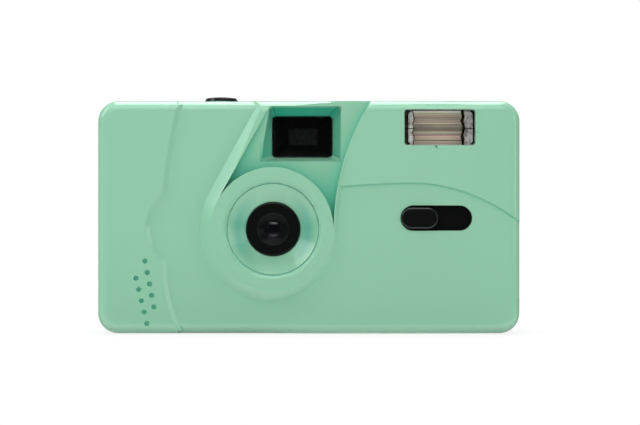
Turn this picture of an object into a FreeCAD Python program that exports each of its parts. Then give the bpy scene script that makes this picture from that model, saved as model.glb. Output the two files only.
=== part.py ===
import FreeCAD, Part
import Sketcher
import math
import os
import re
from FreeCAD import Rotation, Vector

# Reusable 35 mm film camera with a fixed lens, direct finder and built-in flash.
# Millimetres. X runs to the right as the lens side is seen, Y runs to the back,
# Z runs up, and the origin is under the middle of the body, on its base.

DOC = FreeCAD.newDocument("film_camera")
SHEET = DOC.addObject("Spreadsheet::Sheet", "dim")
ALIASES = []
PIECES = []


def sizes(**values):
    """Writes each named size in the sheet, one row each."""
    for alias, value in values.items():
        ALIASES.append(alias)
        row = len(ALIASES)
        SHEET.set(f"A{row}", alias.replace("_", " "))
        SHEET.set(f"B{row}", str(value))
        SHEET.setAlias(f"B{row}", alias)
    DOC.recompute()


def formula(text):
    """Turns size names into references to the sheet's cells."""
    return re.sub(r"[a-z]\w+", lambda word: f"dim.{word[0]}" if word[0] in ALIASES else word[0], str(text))


def number(text):
    return float(SHEET.evalExpression(formula(text)))


def bind(item, path, text):
    item.setExpression(path, formula(text))


TURNS = {
    "X": Rotation(Vector(0, 1, 0), 90),
    "Y": Rotation(Vector(1, 0, 0), -90),
    "Z": Rotation(),
}


def place(item, spot):
    for axis, text in zip("xyz", spot):
        bind(item, f"Placement.Base.{axis}", text)
    return item


def stand(item, axis, centre, level):
    """Turns an upright item along an axis and puts its foot at a level on it."""
    item.Placement.Rotation = TURNS[axis]
    spot = list(centre)
    spot.insert("XYZ".index(axis), level)
    return place(item, spot)


def block(x, y, z, name="block"):
    item = DOC.addObject("Part::Box", name)
    for side, (low, high) in zip(("Length", "Width", "Height"), (x, y, z)):
        bind(item, side, f"({high}) - ({low})")
    return place(item, (x[0], y[0], z[0]))


def rod(axis, radius, centre, span, name="rod"):
    item = DOC.addObject("Part::Cylinder", name)
    bind(item, "Radius", radius)
    bind(item, "Height", f"({span[1]}) - ({span[0]})")
    return stand(item, axis, centre, span[0])


def cone(axis, radii, centre, span, name="cone"):
    item = DOC.addObject("Part::Cone", name)
    bind(item, "Radius1", radii[0])
    bind(item, "Radius2", radii[1])
    bind(item, "Height", f"({span[1]}) - ({span[0]})")
    return stand(item, axis, centre, span[0])


def join(*items, name="joined"):
    item = DOC.addObject("Part::MultiFuse", name)
    item.Shapes = list(items)
    item.Refine = True
    return item


def cut(base, *tools, name="cut"):
    item = DOC.addObject("Part::Cut", name)
    item.Base = base
    item.Tool = tools[0] if len(tools) == 1 else join(*tools)
    item.Refine = True
    return item


def common(*items, name="shared"):
    item = DOC.addObject("Part::MultiCommon", name)
    item.Shapes = list(items)
    item.Refine = True
    return item


def spots_of(path):
    return [Vector(number(point[0]), number(point[1]), 0) for point in path]


def arc_between(start, end, radius):
    """The arc that leaves start for end, anticlockwise for a positive radius."""
    turn = 1 if radius > 0 else -1
    along = end.sub(start)
    rise = math.sqrt(max(radius**2 - (along.Length / 2) ** 2, 0))
    side = Vector(-along.y, along.x, 0).normalize() * (turn * rise)
    centre = start + along * 0.5 + side
    first, last = (start, end) if turn > 0 else (end, start)
    angles = [math.atan2(spot.y - centre.y, spot.x - centre.x) for spot in (first, last)]
    return Part.ArcOfCircle(Part.Circle(centre, Vector(0, 0, 1), abs(radius)), *angles)


def draw(sketch, path):
    """Draws a closed outline. A point's third entry is the radius of the arc that leaves it."""
    spots = spots_of(path)
    ends = []
    for i, point in enumerate(path):
        start, end = spots[i], spots[(i + 1) % len(path)]
        curved = len(point) == 3
        edge = arc_between(start, end, number(point[2])) if curved else Part.LineSegment(start, end)
        sketch.addGeometry(edge, False)
        ends.append((2, 1) if curved and number(point[2]) < 0 else (1, 2))
    for i in range(len(path)):
        j = (i + 1) % len(path)
        sketch.addConstraint(Sketcher.Constraint("Coincident", i, ends[i][1], j, ends[j][0]))
    for i, point in enumerate(path):
        for kind, text, value in (("DistanceX", point[0], spots[i].x), ("DistanceY", point[1], spots[i].y)):
            k = sketch.addConstraint(Sketcher.Constraint(kind, -1, 1, i, ends[i][0], value))
            bind(sketch, f"Constraints[{k}]", text)
        if len(point) == 3:
            k = sketch.addConstraint(Sketcher.Constraint("Radius", i, abs(number(point[2]))))
            bind(sketch, f"Constraints[{k}]", f"abs({point[2]})")


PLANES = {"XY": ("XY_Plane", 1), "XZ": ("XZ_Plane", -1), "YZ": ("YZ_Plane", 1)}


def outline(body, plane, path, level):
    """A sketch of the path, parallel to one of the body's own planes."""
    role, sign = PLANES[plane]
    item = body.newObject("Sketcher::SketchObject", "outline")
    face = [feature for feature in body.Origin.OriginFeatures if feature.Role == role][0]
    item.AttachmentSupport = [(face, "")]
    item.MapMode = "FlatFace"
    bind(item, "AttachmentOffset.Base.z", f"{sign} * ({level})")
    draw(item, path)
    DOC.recompute()
    return item


def slab(plane, path, low, high, name="slab"):
    """A body padded from one level to another."""
    body = DOC.addObject("PartDesign::Body", name)
    item = body.newObject("PartDesign::Pad", "pad")
    item.Profile = outline(body, plane, path, low)
    bind(item, "Length", f"({high}) - ({low})")
    item.Reversed = plane == "XZ"
    DOC.recompute()
    return body


def pocket(body, plane, path, low, high):
    item = body.newObject("PartDesign::Pocket", "pocket")
    item.Profile = outline(body, plane, path, low if plane == "XZ" else high)
    bind(item, "Length", f"({high}) - ({low})")
    DOC.recompute()
    return item


def turned(axis, path, centre, name="turned"):
    """A body turned about an axis; the path gives radius and place along the axis."""
    body = DOC.addObject("PartDesign::Body", name)
    item = body.newObject("PartDesign::Revolution", "turn")
    sketch = outline(body, "XZ", path, "0")
    item.Profile = sketch
    item.ReferenceAxis = (sketch, ["V_Axis"])
    item.Angle = 360
    DOC.recompute()
    return stand(body, axis, centre, "0")


def edges_where(shape, test):
    return [f"Edge{i}" for i, edge in enumerate(shape.Edges, 1) if test(edge)]


def rounded(body, radius, test, kind="Fillet"):
    """Rounds, or chamfers, the edges of a body that pass the test."""
    base = body.Tip
    item = body.newObject(f"PartDesign::{kind}", kind.lower())
    item.Base = (base, edges_where(base.Shape, test))
    bind(item, "Radius" if kind == "Fillet" else "Size", radius)
    DOC.recompute()
    return item


def along(axis):
    """Tells whether an edge is straight and runs along an axis."""
    def test(edge):
        return edge.Curve.TypeId == "Part::GeomLine" and abs(getattr(edge.Curve.Direction, axis)) > 0.999
    return test


def repeated(body, feature, count):
    """Repeats a feature round the body's Z axis."""
    item = body.newObject("PartDesign::PolarPattern", "pattern")
    item.Originals = [feature]
    axis = [found for found in body.Origin.OriginFeatures if found.Role == "Z_Axis"][0]
    item.Axis = (axis, [""])
    item.Angle = 360
    bind(item, "Occurrences", count)
    body.Tip = item
    DOC.recompute()
    return item


def loft(*sketches, name="loft"):
    item = DOC.addObject("Part::Loft", name)
    item.Sections = list(sketches)
    item.Solid = True
    item.Ruled = True
    return item


def taper(near, far, levels, name="taper"):
    """A block that tapers along y between two rectangles, each given by its x and z limits."""
    item = DOC.addObject("Part::Wedge", name)
    for key, value in zip(("Xmin", "Xmax", "Zmin", "Zmax"), near):
        bind(item, key, value)
    for key, value in zip(("X2min", "X2max", "Z2min", "Z2max"), far):
        bind(item, key, value)
    for key, value in zip(("Ymin", "Ymax"), levels):
        bind(item, key, value)
    return item


def section(plane, path, level, name="section"):
    """A free sketch of the path at a level, for a loft or an extrusion."""
    item = DOC.addObject("Sketcher::SketchObject", name)
    turns = {"XY": Rotation(), "XZ": Rotation(Vector(1, 0, 0), 90), "YZ": Rotation(Vector(1, 1, 1), 120)}
    item.Placement.Rotation = turns[plane]
    bind(item, "Placement.Base." + {"XY": "z", "XZ": "y", "YZ": "x"}[plane], level)
    draw(item, path)
    return item


def rectangle(x, z):
    return [(x[0], z[0]), (x[1], z[0]), (x[1], z[1]), (x[0], z[1])]


def piece(name, item):
    """Names a finished sub-part, so that it is checked and written."""
    item.Label = name
    PIECES.append(item)
    return item


# Driving sizes, in millimetres, grouped by the sub-part they belong to.
# Shell.
sizes(
    body_width=114, body_height=62.8, back_face=16.4, wall=1.6, corner_round=5.5, edge_round=2.8,
    front_seam=-7.2, door_seam=10.6, door_height=49.6, gap=0.2, left_level=-14.2, right_peak=-16.6,
    right_end=-14.4, ramp_start=-21, ramp_end=12, grip_rise=0.8, brow_rise=0.55,
)
# Wavy border of the grip pad.
sizes(
    grip_top_x=-35.1, grip_knee_x=-39.3, grip_knee_z=39.5, grip_hollow_x=-41, grip_hollow_top=36.4,
    grip_hollow_low=20.8, grip_heel_x=-39.6, grip_heel_z=17.5, grip_foot_x=-34.4, grip_long_round=179,
    grip_lobe_round=4, grip_hollow_round=11.6, grip_foot_round=38.6, step_width=1.4,
)
# Brow over the lower right plate.
sizes(
    brow_start_x=6, brow_start_z=39.5, brow_top_x=30, brow_top_z=40.7, brow_end_z=29.3,
    brow_round_left=260, brow_round_right=50,
)
# Boss round the lens and finder.
sizes(
    lens_x=-9.66, lens_z=28.2, boss_face=-17.5, ring_round=16.7, sweep_angle=61.6, boss_slope=43,
    boss_root=-12, crest_round=64, crown_start=45, crown_end=59, crown_face=-15.9, crown_round=3.5,
)
# Dish, finder pocket, flash and switch openings, dimples.
sizes(
    ring_inner=13.6, lip_round=1, dish_rim=12.4, dish_rim_level=-16, groove=0.25, groove_deep=0.5,
    dish_eye=7.4, dish_floor=-12.2, dish_wall=1.3, dish_back=-10.9, window_left=-10, window_right=6.4,
    window_low=47.6, window_top=58.8, window_level=-10.5, mouth_left_low=-13.2, mouth_left_top=-10.5,
    mouth_right=8.7, mouth_low=46.4, mouth_top=61.3, mouth_level=-14.3, recess_deep=-13.3,
    recess_deep_z=40, recess_high=-15.1, recess_high_z=60, flash_left=25.7, flash_right=44.8,
    flash_low=50.8, flash_top=60.4, flash_round=0.8, scoop_reach=22.7, scoop_low=49.5, scoop_top=54.4,
    scoop_level=-16.6, scoop_deep=2.6, scoop_slope=0.42, slot_left=24.7, slot_right=44, slot_low=27.8,
    slot_high=34.6, slide_face=-13.4, dimple_round=0.65, dimple_deep=0.9,
)
# Recess in the boss.
sizes(
    crest_land=0.35,
)
# Case screws, lugs and chassis posts.
sizes(
    screw_core=0.8, screw_body=1.05, screw_head=2, base_screw_left=-49, base_screw_right=13.8,
    base_screw_y=-3.4, side_screw_y=-3.4, side_screw_left_z=44, side_screw_right_z=54.4, lug_thick=2.8,
    lug_reach=3.2, post_round=2.3, post_left=-28, post_right=8.2, post_z=6.8, post_end=2,
)
# Rear cover and what passes through it.
sizes(
    finder_x=-1.8, eye_z=53.9, eye_wide=9.4, eye_high=5, ledge=0.6, wheel_x=-41.7, wheel_y=4.2,
    wheel_round=13.3, wheel_low=52, wheel_high=58, wheel_gap=0.3, button_x=-24.2, button_y=-0.5,
    button_round=4.8, button_top=64.5, button_gap=0.15, seat_round=5.6, seat_rise=0.35, counter_x=-15.8,
    counter_window_y=2.4, counter_wide=5, counter_deep=3.6, lamp_x=12, lamp_z=55.6, lamp_round=1.5,
    chamber_x=25.6, chamber_y=1.5, knob_round=7.9, knob_gap=0.3, cup_floor=5.2, cup_top=5.9,
    cup_wall=0.7, sleeve_round=6.12, sleeve_gap=0.08, battery_x=48, battery_y=0.6,
    battery_door_half=6.2, battery_door_thick=1.2, release_x=-19, release_y=1.5, release_round=1.9,
    latch_y=5.2, latch_low=18, latch_high=32.4, latch_half=1.8, latch_plate_low=19, battery_pin=0.5,
    battery_hinge_z=0.75, strap_z=36, strap_half=4.5, strap_deep=2.4, strap_y=-1.2, strap_bar=0.9,
)
# Door hinge.
sizes(
    hinge_x=-55.8, hinge_y=9.75, pin_round=0.6, knuckle_round=1.2, left_wall_end=8, rim_gap=0.6,
    knuckle_low=8, knuckle_high=44, knuckle_long=6, knuckle_gap=0.3,
)
# Film door.
sizes(
    catch_z=27, catch_long=6, catch_reach=3,
)
# Chassis.
sizes(
    gate_face=13, gate_thick=1.6, gate_left=-30.5, gate_right=12, gate_low=4, chassis_top=49.6,
    deck_thick=1, frame_wide=36, frame_high=24, tunnel_front=-5, tunnel_mouth=4.6, tunnel_wall=1,
    bulkhead_thick=1.2, bulkhead_left=-25, bulkhead_right=6, bulkhead_low=15, bulkhead_high=43,
    rail_rise=0.3, rail_wide=1.2, film_wide=35, guide_rise=0.8, spool_room=10.4, spool_wall=1,
    spool_floor=5, cartridge_room=13, cartridge_wall=1, cartridge_floor=6, floor_thick=0.9,
    battery_room=5.6, battery_wall=0.9, battery_low=3.4, battery_high=50.6, sprocket_x=-25.5,
    sprocket_y=7, sprocket_low=42.4, sprocket_high=45.6, sprocket_round=6, sprocket_shaft=1.4, run=0.08,
    spool_shaft=2.6, spool_pin=1.5, dial_x=-16, dial_y=7, dial_post=1.8, dial_pin=0.9, dial_low=57.2,
    dial_thick=0.8, finder_cut_left=-11.8, finder_cut_right=8.6, deck_left=-54.8, deck_front=-7.8,
    deck_right=40,
)
# Take-up spool, thumbwheel, sprocket and dial.
sizes(
    spool_core=5.2, spool_flange=8.6, flange_thick=0.8, spool_foot=6.3, spool_head=47.9, spool_slots=6,
    slot_wide=1.4, hub_round=4.6, hub_high=58.8, wheel_rim=1.9, wheel_web=1.4, wheel_teeth=44,
    tooth_deep=0.5, tooth_wide=0.9, sprocket_teeth=8, sprocket_tooth=1.1, sprocket_core=2.2,
    sprocket_top=58.6, finger_round=3.1, dial_round=6.2, dial_teeth=36, dial_tooth=0.35,
)
# Pawl on the thumbwheel.
sizes(
    pawl_thick=0.4, pawl_high=3, pawl_gap=0.2,
)
# Shutter button and release lever.
sizes(
    button_dome=1.5, dome_rise=0.35, flange_round=5.2, flange_level=60.4, button_stem=2.2,
    stem_low=54.3, tower_round=3.4, tower_top=57.2, spring_wire=0.5, button_spring_round=3, lever_x=-18,
    lever_y=-6.4, lever_z=53.2, lever_pin=0.8, lever_thick=1.6,
)
# Shutter, lens and hood.
sizes(
    lever_nose=3.4, lever_wide=3, cocking_x=-18, cocking_y=1.2, cocking_low=51, cocking_thick=1.2,
    cocking_arm=3.6, shutter_plate=-8.6, plate_thick=0.8, shutter_left=-22, shutter_right=2,
    shutter_low=16, shutter_high=42, blade_pivot_x=-18, blade_pivot_z=36, blade_gap=0.4,
    blade_thick=0.3, blade_hub=1.6, stop_round=1.3, hood_round=7.2, hood_face=-12.7, hood_flange=9.3,
    hood_flange_thick=1, hood_mouth=4.1, hood_throat=2.6, lens_round=3.6, lens_bulge=0.25,
    lens_front=-10.9, lens_back=-9.6, retainer_round=6.4,
)
# Finder.
sizes(
    pane_thick=1, pane_edge=0.7, tunnel_skin=0.7, tunnel_back=10.2, eye_inner_wide=8.2,
    eye_inner_high=4.8, eye_centre_z=54,
)
# Flash and its circuit.
sizes(
    flash_gap=0.1, flash_face=-15.5, flash_lip=0.8, rib_count=7, rib_deep=0.25, reflector_back=-8.5,
    reflector_skin=0.4, tube_round=1.5, tube_level=-11, tube_reach=1.2, board_left=15, board_right=41,
    board_low=38.2, board_high=48.2, board_face=-13.75, board_thick=0.9, capacitor_round=4.3,
    capacitor_left=-22, capacitor_right=4, capacitor_y=-6.5, capacitor_z=6.1, core_wide=6.4,
    core_high=6.4, core_deep=4.4, coil_round=1.9, lamp_flange=2.1,
)
# Flash switch.
sizes(
    knob_wide=9.9, knob_high=5.6, knob_face=-17.45, switch_travel=8.8, slide_thick=0.7,
    slide_margin=0.6, knob_edge=0.5,
)
# Rewind knob, crank and fork.
sizes(
    knob_face_z=0.3, knob_thick=2.1, sleeve_inner=5.65, sleeve_top=6.6, fork_high=6, crank_thick=1,
    crank_wide=4.2, crank_pin_x=-5.2, crank_reach=4, crank_pin=0.45, crank_peg=1.7, peg_high=1.4,
    crank_gap=0.15, fork_round=2.6,
)
# Battery.
sizes(
    cell_round=5.25, cell_low=4.4, cell_high=48.9, cell_nub=1.9, cell_nub_high=0.8, contact_thick=0.3,
    battery_spring_round=3,
)
# Latch and pressure plate.
sizes(
    latch_thick=1, thumb_low=22.2, thumb_high=32.2, latch_plate_high=36, plate_face=13.9,
    pressure_thick=0.5, pressure_left=-30, pressure_right=11, pressure_low=12.6, pressure_high=42.6,
    leaf_thick=0.2,
)


# The shell: mint plates of one wall, in a front cover, a rear cover and a film door.
HALF = "body_width / 2"


def front_profile(shift, inset="0"):
    """The plates in plan: flat on the left, an S over the ramp, one long curve on the right."""
    left, peak, end = (f"({level} + {shift})" for level in ("left_level", "right_peak", "right_end"))
    middle = "(ramp_start + ramp_end) / 2"
    swing = f"((({middle} - ramp_start)^2 + (({left} - {peak}) / 2)^2) / ({left} - {peak}))"
    side = f"({HALF} - ({inset}))"
    sweep = f"((({side} - ramp_end)^2 + ({end} - {peak})^2) / (2 * ({end} - {peak})))"
    return [
        (f"-{side}", left), ("ramp_start", left, f"-{swing}"), (middle, f"({left} + {peak}) / 2", swing),
        ("ramp_end", peak, sweep), (side, end),
    ]


def plate_block(shift, name):
    """A block under the plates, with the front view's round corners and a soft front edge."""
    path = front_profile(shift) + [(HALF, "front_seam"), (f"-{HALF}", "front_seam")]
    body = slab("XY", path, "0", "body_height", name)
    rounded(body, "corner_round", along("y"))
    back = number("front_seam")
    rounded(body, "edge_round", lambda edge: edge.BoundBox.YMax < back - 1)
    return body


plates = plate_block("0", "plates")

# The grip pad on the left stands proud of the plate, up to a wavy border with a finger hollow.


def border(shift):
    return [
        (f"grip_top_x + {shift}", "body_height + 1", "grip_long_round"),
        (f"grip_knee_x + {shift}", "grip_knee_z", "-grip_lobe_round"),
        (f"grip_hollow_x + {shift}", "grip_hollow_top", "grip_hollow_round"),
        (f"grip_hollow_x + {shift}", "grip_hollow_low", "-grip_lobe_round"),
        (f"grip_heel_x + {shift}", "grip_heel_z", "grip_foot_round"),
        (f"grip_foot_x + {shift}", "-1"), (f"-{HALF} - 1", "-1"), (f"-{HALF} - 1", "body_height + 1"),
    ]


grip_step = loft(
    section("XZ", border("0"), "left_level - grip_rise - 0.01"),
    section("XZ", border("step_width"), "left_level + 0.1"), name="grip_step",
)
grip_field = slab("XZ", border("0"), "left_level - grip_rise / 2", "front_seam", "grip_field")
grip = common(plate_block("-grip_rise", "grip_block"), join(grip_step, grip_field), name="grip_pad")

# The brow is the upper right plate, a little proud of the lower one along a long curve.
brow_path = [
    ("brow_start_x", "brow_start_z", "-brow_round_left"), ("brow_top_x", "brow_top_z", "-brow_round_right"),
    (f"{HALF} + 1", "brow_end_z"), (f"{HALF} + 1", "body_height + 1"), ("brow_start_x", "body_height + 1"),
]
brow_field = slab("XZ", brow_path, "right_peak - 2", "front_seam", "brow_field")
brow = common(plate_block("-brow_rise", "brow_block"), brow_field, name="brow")

# The lens boss: a ring round the dish that runs up into a teardrop round the finder.


def teardrop(grow="0", above="body_height + 6"):
    """The crest line: the ring's left and lower half, a straight left side and a long right arc."""
    reach = f"({above} - lens_z - (ring_round + {grow}) * cos(sweep_angle * 1 deg)) / tan(sweep_angle * 1 deg)"
    left_x = f"(lens_x - (ring_round + {grow}) * sin(sweep_angle * 1 deg))"
    left_z = f"(lens_z + (ring_round + {grow}) * cos(sweep_angle * 1 deg))"
    right_x = f"(lens_x + ring_round + {grow})"
    return [
        (left_x, left_z, f"ring_round + {grow}"), ("lens_x", f"lens_z - ring_round - {grow}", f"ring_round + {grow}"),
        (right_x, "lens_z", "-(crest_round - (" + grow + "))"),
        (f"{right_x} + crest_round - ({grow}) - sqrt((crest_round - ({grow}))^2 - ({above} - lens_z)^2)", above),
        (f"{left_x} + {reach}", above),
    ]


boss_side = [
    ("boss_face", "-1"), ("boss_face", "crown_start"), ("crown_face", "crown_end", "-crown_round"),
    ("crown_face + crown_round", "body_height"), ("0", "body_height"), ("0", "-1"),
]
boss = common(
    loft(
        section("XZ", teardrop(), "boss_face"),
        section("XZ", teardrop("(boss_root - boss_face) * tan(boss_slope * 1 deg)"), "boss_root"),
    ),
    slab("YZ", boss_side, "-60", "60"), name="boss",
)

# The dish sinks from the ring to the lens; the finder pocket and the flash have openings of their own.
dish_skin = turned("Y", [
    ("ring_inner + 1", "dish_rim_level"), ("ring_inner + 1", "dish_rim_level + dish_wall"),
    ("dish_eye + dish_wall", "dish_back"), ("dish_eye", "dish_back"), ("dish_eye", "dish_floor"),
    ("dish_rim", "dish_rim_level"),
], ("lens_x", "lens_z"), "dish_skin")
dish = turned("Y", [
    ("0", "boss_face - 1"), ("ring_inner", "boss_face - 1"), ("ring_inner", "boss_face", "-lip_round"),
    ("ring_inner - lip_round", "boss_face + lip_round"), ("ring_inner - lip_round", "dish_rim_level"),
    ("dish_rim + groove / 2", "dish_rim_level"), ("dish_rim + groove / 2", "dish_rim_level + groove_deep"),
    ("dish_rim - groove / 2", "dish_rim_level + groove_deep"), ("dish_rim - groove / 2", "dish_rim_level"),
    ("dish_eye", "dish_floor"), ("dish_eye", "dish_back + 1"), ("0", "dish_back + 1"),
], ("lens_x", "lens_z"), "dish")

floor_lean = "((recess_high - recess_deep) / (recess_high_z - recess_deep_z))"


def behind_floor(back, name):
    """A prism behind the recess's leaning floor, moved back by a distance."""
    ends = [(f"recess_deep + {back} + {floor_lean} * ({z} - recess_deep_z)", z) for z in ("20", "body_height + 2")]
    return slab("YZ", ends + [("2", "body_height + 2"), ("2", "20")], "-60", "60", name)


recess_outline = [
    ("lens_x - ring_round * sin(sweep_angle * 1 deg)", "lens_z + ring_round * cos(sweep_angle * 1 deg)",
     "-ring_round"),
    ("lens_x", "lens_z + ring_round", "-ring_round"),
] + teardrop("-crest_land")[2:]
recess = cut(slab("XZ", recess_outline, "boss_face - 2", "0", "recess"), behind_floor("0", "recess_floor"))
recess_skin = cut(
    common(slab("XZ", teardrop("wall"), "boss_face + wall", "boss_root", "skin"), plate_block("0", "skin_block")),
    behind_floor("wall", "skin_back"), name="recess_skin",
)


def window_path(grow="0"):
    return rectangle((f"window_left - {grow}", f"window_right + {grow}"), (f"window_low - {grow}", f"window_top + {grow}"))


def mouth_path(grow="0"):
    return [
        (f"mouth_left_low - {grow}", f"mouth_low - {grow}"), (f"mouth_right + {grow}", f"mouth_low - {grow}"),
        (f"mouth_right + {grow}", f"mouth_top + {grow} * 0.1"), (f"mouth_left_top - {grow}", f"mouth_top + {grow} * 0.1"),
    ]


finder_pocket = join(
    loft(section("XZ", window_path(), "window_level"), section("XZ", mouth_path(), "mouth_level")),
    slab("XZ", mouth_path(), "boss_face - 2", "mouth_level"),
    slab("XZ", window_path(), "window_level", "window_level + wall + 1"), name="finder_pocket",
)
finder_skin = loft(
    section("XZ", window_path("wall * 0.75"), "window_level"), section("XZ", mouth_path("wall * 0.75"), "mouth_level"),
    name="finder_skin",
)

flash_hole = slab("XZ", rectangle(("flash_left", "flash_right"), ("flash_low", "flash_top")), "boss_face - 2",
                  "front_seam", "flash_hole")
rounded(flash_hole, "flash_round", along("y"))
scoop = common(
    cone("Y", ("scoop_reach", "scoop_reach - scoop_deep / scoop_slope"),
         ("(flash_left + flash_right) / 2", "scoop_low + scoop_reach"), ("scoop_level", "scoop_level + scoop_deep")),
    block(("0", HALF), ("boss_face - 2", "front_seam"), ("scoop_low - 5", "scoop_top")), name="scoop",
)
scoop_skin = block(("flash_left - 5.5", "flash_right + 5.5"), ("slide_face - wall", "slide_face"),
                   ("scoop_low - 1", "scoop_top + wall"), "scoop_skin")

SLOT_ROUND = "((slot_high - slot_low) / 2)"
SLOT_MIDDLE = "((slot_high + slot_low) / 2)"


def stadium(shrink, span, name):
    ends = [rod("Y", f"{SLOT_ROUND} - {shrink}", (end, SLOT_MIDDLE), span)
            for end in (f"slot_left + {SLOT_ROUND}", f"slot_right - {SLOT_ROUND}")]
    middle = block((f"slot_left + {SLOT_ROUND}", f"slot_right - {SLOT_ROUND}"), span,
                   (f"slot_low + {shrink}", f"slot_high - {shrink}"))
    return join(*ends, middle, name=name)


switch_slot = stadium("0", ("boss_face - 2", "0"), "switch_slot")
slide_pad = common(
    block(("slot_left - 2.5", f"{HALF} - wall / 2"), ("boss_face", "slide_face"), ("slot_low - 2", "slot_high + 2")),
    plate_block("0", "slide_block"), name="slide_pad",
)

dimple_spots = [
    (f"{x} + {lean} * {row}", f"{z} - {drop} * {row}")
    for x, z, lean, drop in ((-44.1, 19.6, 0.59, 3.08), (-46.55, 15.0, 0.73, 3.05)) for row in range(5)
]
dimples = join(*[
    rod("Y", "dimple_round", spot, ("left_level - grip_rise - 1", "left_level - grip_rise + dimple_deep"))
    for spot in dimple_spots
], name="dimples")

# Inside, the front cover is hollow, with lugs for the four case screws and two posts for the chassis.
inside = slab("XY", front_profile("wall", "wall") + [(f"{HALF} - wall", "front_seam + 1"), (f"wall - {HALF}", "front_seam + 1")],
              "wall", "body_height - wall", "inside")
rounded(inside, "corner_round - wall", along("y"))
shell = cut(join(plates, grip, brow, boss), inside, name="shell")

base_lugs = [
    block((f"{x} - 2.6", f"{x} + 2.6"), ("left_level + wall + 0.5", "base_screw_y + 2.6"), ("wall", "wall + lug_reach"))
    for x in ("base_screw_left", "base_screw_right")
]
side_lugs = [
    block((f"-{HALF} + wall", f"-{HALF} + wall + lug_thick"), ("left_level + wall + 0.5", "side_screw_y + 2.2"),
          ("side_screw_left_z - 2.6", "side_screw_left_z + 2.6")),
    block((f"{HALF} - wall - lug_thick", f"{HALF} - wall"), ("right_end + wall + 0.5", "side_screw_y + 2.2"),
          ("side_screw_right_z - 2.6", "side_screw_right_z + 2.6")),
]
posts = [
    rod("Y", "post_round", (x, "post_z"), (f"{level} + wall / 2", "post_end"))
    for x, level in (("post_left", "left_level"), ("post_right", "right_peak"))
]
lug_gap = join(
    block((f"wall - {HALF} - 1", f"{HALF} - wall + 1"), ("front_seam", "0"), ("wall - 1", "wall + gap")),
    block((f"-{HALF}", f"wall + gap - {HALF}"), ("front_seam", "0"), ("0", "body_height")),
    block((f"{HALF} - wall - gap", HALF), ("front_seam", "0"), ("0", "body_height")),
)
pilots = [
    *[rod("Z", "screw_core", (x, "base_screw_y"), ("0", "wall + lug_reach - 0.6")) for x in ("base_screw_left", "base_screw_right")],
    rod("X", "screw_core", ("side_screw_y", "side_screw_left_z"), (f"-{HALF}", f"wall + lug_thick - 0.5 - {HALF}")),
    rod("X", "screw_core", ("side_screw_y", "side_screw_right_z"), (f"{HALF} - wall - lug_thick + 0.5", HALF)),
    *[rod("Y", "screw_core", (x, "post_z"), ("post_end - 7", "post_end + 1")) for x in ("post_left", "post_right")],
]
slider_room = block(("slot_right", f"{HALF} - 2 * wall"), ("slide_face", "slide_face + wall"),
                    ("slot_low - 2 * slide_margin", "slot_high + 2 * slide_margin"))
front_cover = piece("front_cover", cut(
    join(shell, dish_skin, recess_skin, finder_skin, scoop_skin, slide_pad, *base_lugs, *side_lugs, *posts),
    dish, recess, finder_pocket, flash_hole, scoop, switch_slot, dimples, lug_gap, slider_room, *pilots, name="front_body",
))

# The rear cover is a frame round the works, with a strip across the top of the back.
BATTERY_HINGE_X = "(battery_x + battery_door_half - 0.9)"
back_block = slab("XZ", rectangle((f"-{HALF}", HALF), ("0", "body_height")), "front_seam", "back_face", "back_block")
rounded(back_block, "corner_round", along("y"))
rounded(back_block, "edge_round", lambda edge: edge.BoundBox.YMin > number("back_face") - 0.01)
back_inside = slab("XZ", rectangle((f"wall - {HALF}", f"{HALF} - wall"), ("wall", "body_height - wall")), "front_seam - 1",
                   "back_face - wall", "back_inside")
rounded(back_inside, "corner_round - wall", along("y"))
rounded(back_inside, "edge_round - wall", lambda edge: edge.BoundBox.YMin > number("back_face - wall") - 0.01)

door_zone = join(
    block((f"-{HALF} - 1", f"{HALF} + 1"), ("door_seam", "back_face + 1"), ("-1", "door_height + gap")),
    block((f"-{HALF} - 1", f"2 * wall - {HALF}"), ("left_wall_end", "door_seam + 1"), ("-1", "door_height + gap")),
    name="door_zone",
)
ledge = block((f"wall - {HALF}", f"{HALF} - wall"), ("door_seam", "back_face - wall"),
              ("door_height + gap", "door_height + gap + ledge"))
button_seat = cone("Z", ("seat_round + 0.7", "seat_round"), ("button_x", "button_y"),
                   ("body_height - wall / 2", "body_height + seat_rise"))
fixed_knuckles = join(*[
    rod("Z", "knuckle_round", ("hinge_x", "hinge_y"), (low, f"{low} + knuckle_long"))
    for low in ("knuckle_low", "knuckle_high - knuckle_long")
] + [
    block(("hinge_x - knuckle_round", "hinge_x + knuckle_round"), ("left_wall_end - 1", "hinge_y"), (low, f"{low} + knuckle_long"))
    for low in ("knuckle_low", "knuckle_high - knuckle_long")
], name="fixed_knuckles")
strap_pocket = cut(
    block((f"-{HALF} - 1", f"strap_deep - {HALF}"), ("strap_y - strap_half", "strap_y + strap_half"),
          ("strap_z - strap_half", "strap_z + strap_half")),
    rod("Z", "strap_bar", (f"strap_bar + 0.2 - {HALF}", "strap_y"), ("0", "body_height")), name="strap_pocket",
)
strap_skin = block((f"wall / 2 - {HALF}", f"strap_deep + 0.9 - {HALF}"), ("strap_y - strap_half - 0.9", "strap_y + strap_half + 0.9"),
                   ("strap_z - strap_half - 0.9", "strap_z + strap_half + 0.9"))
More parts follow.
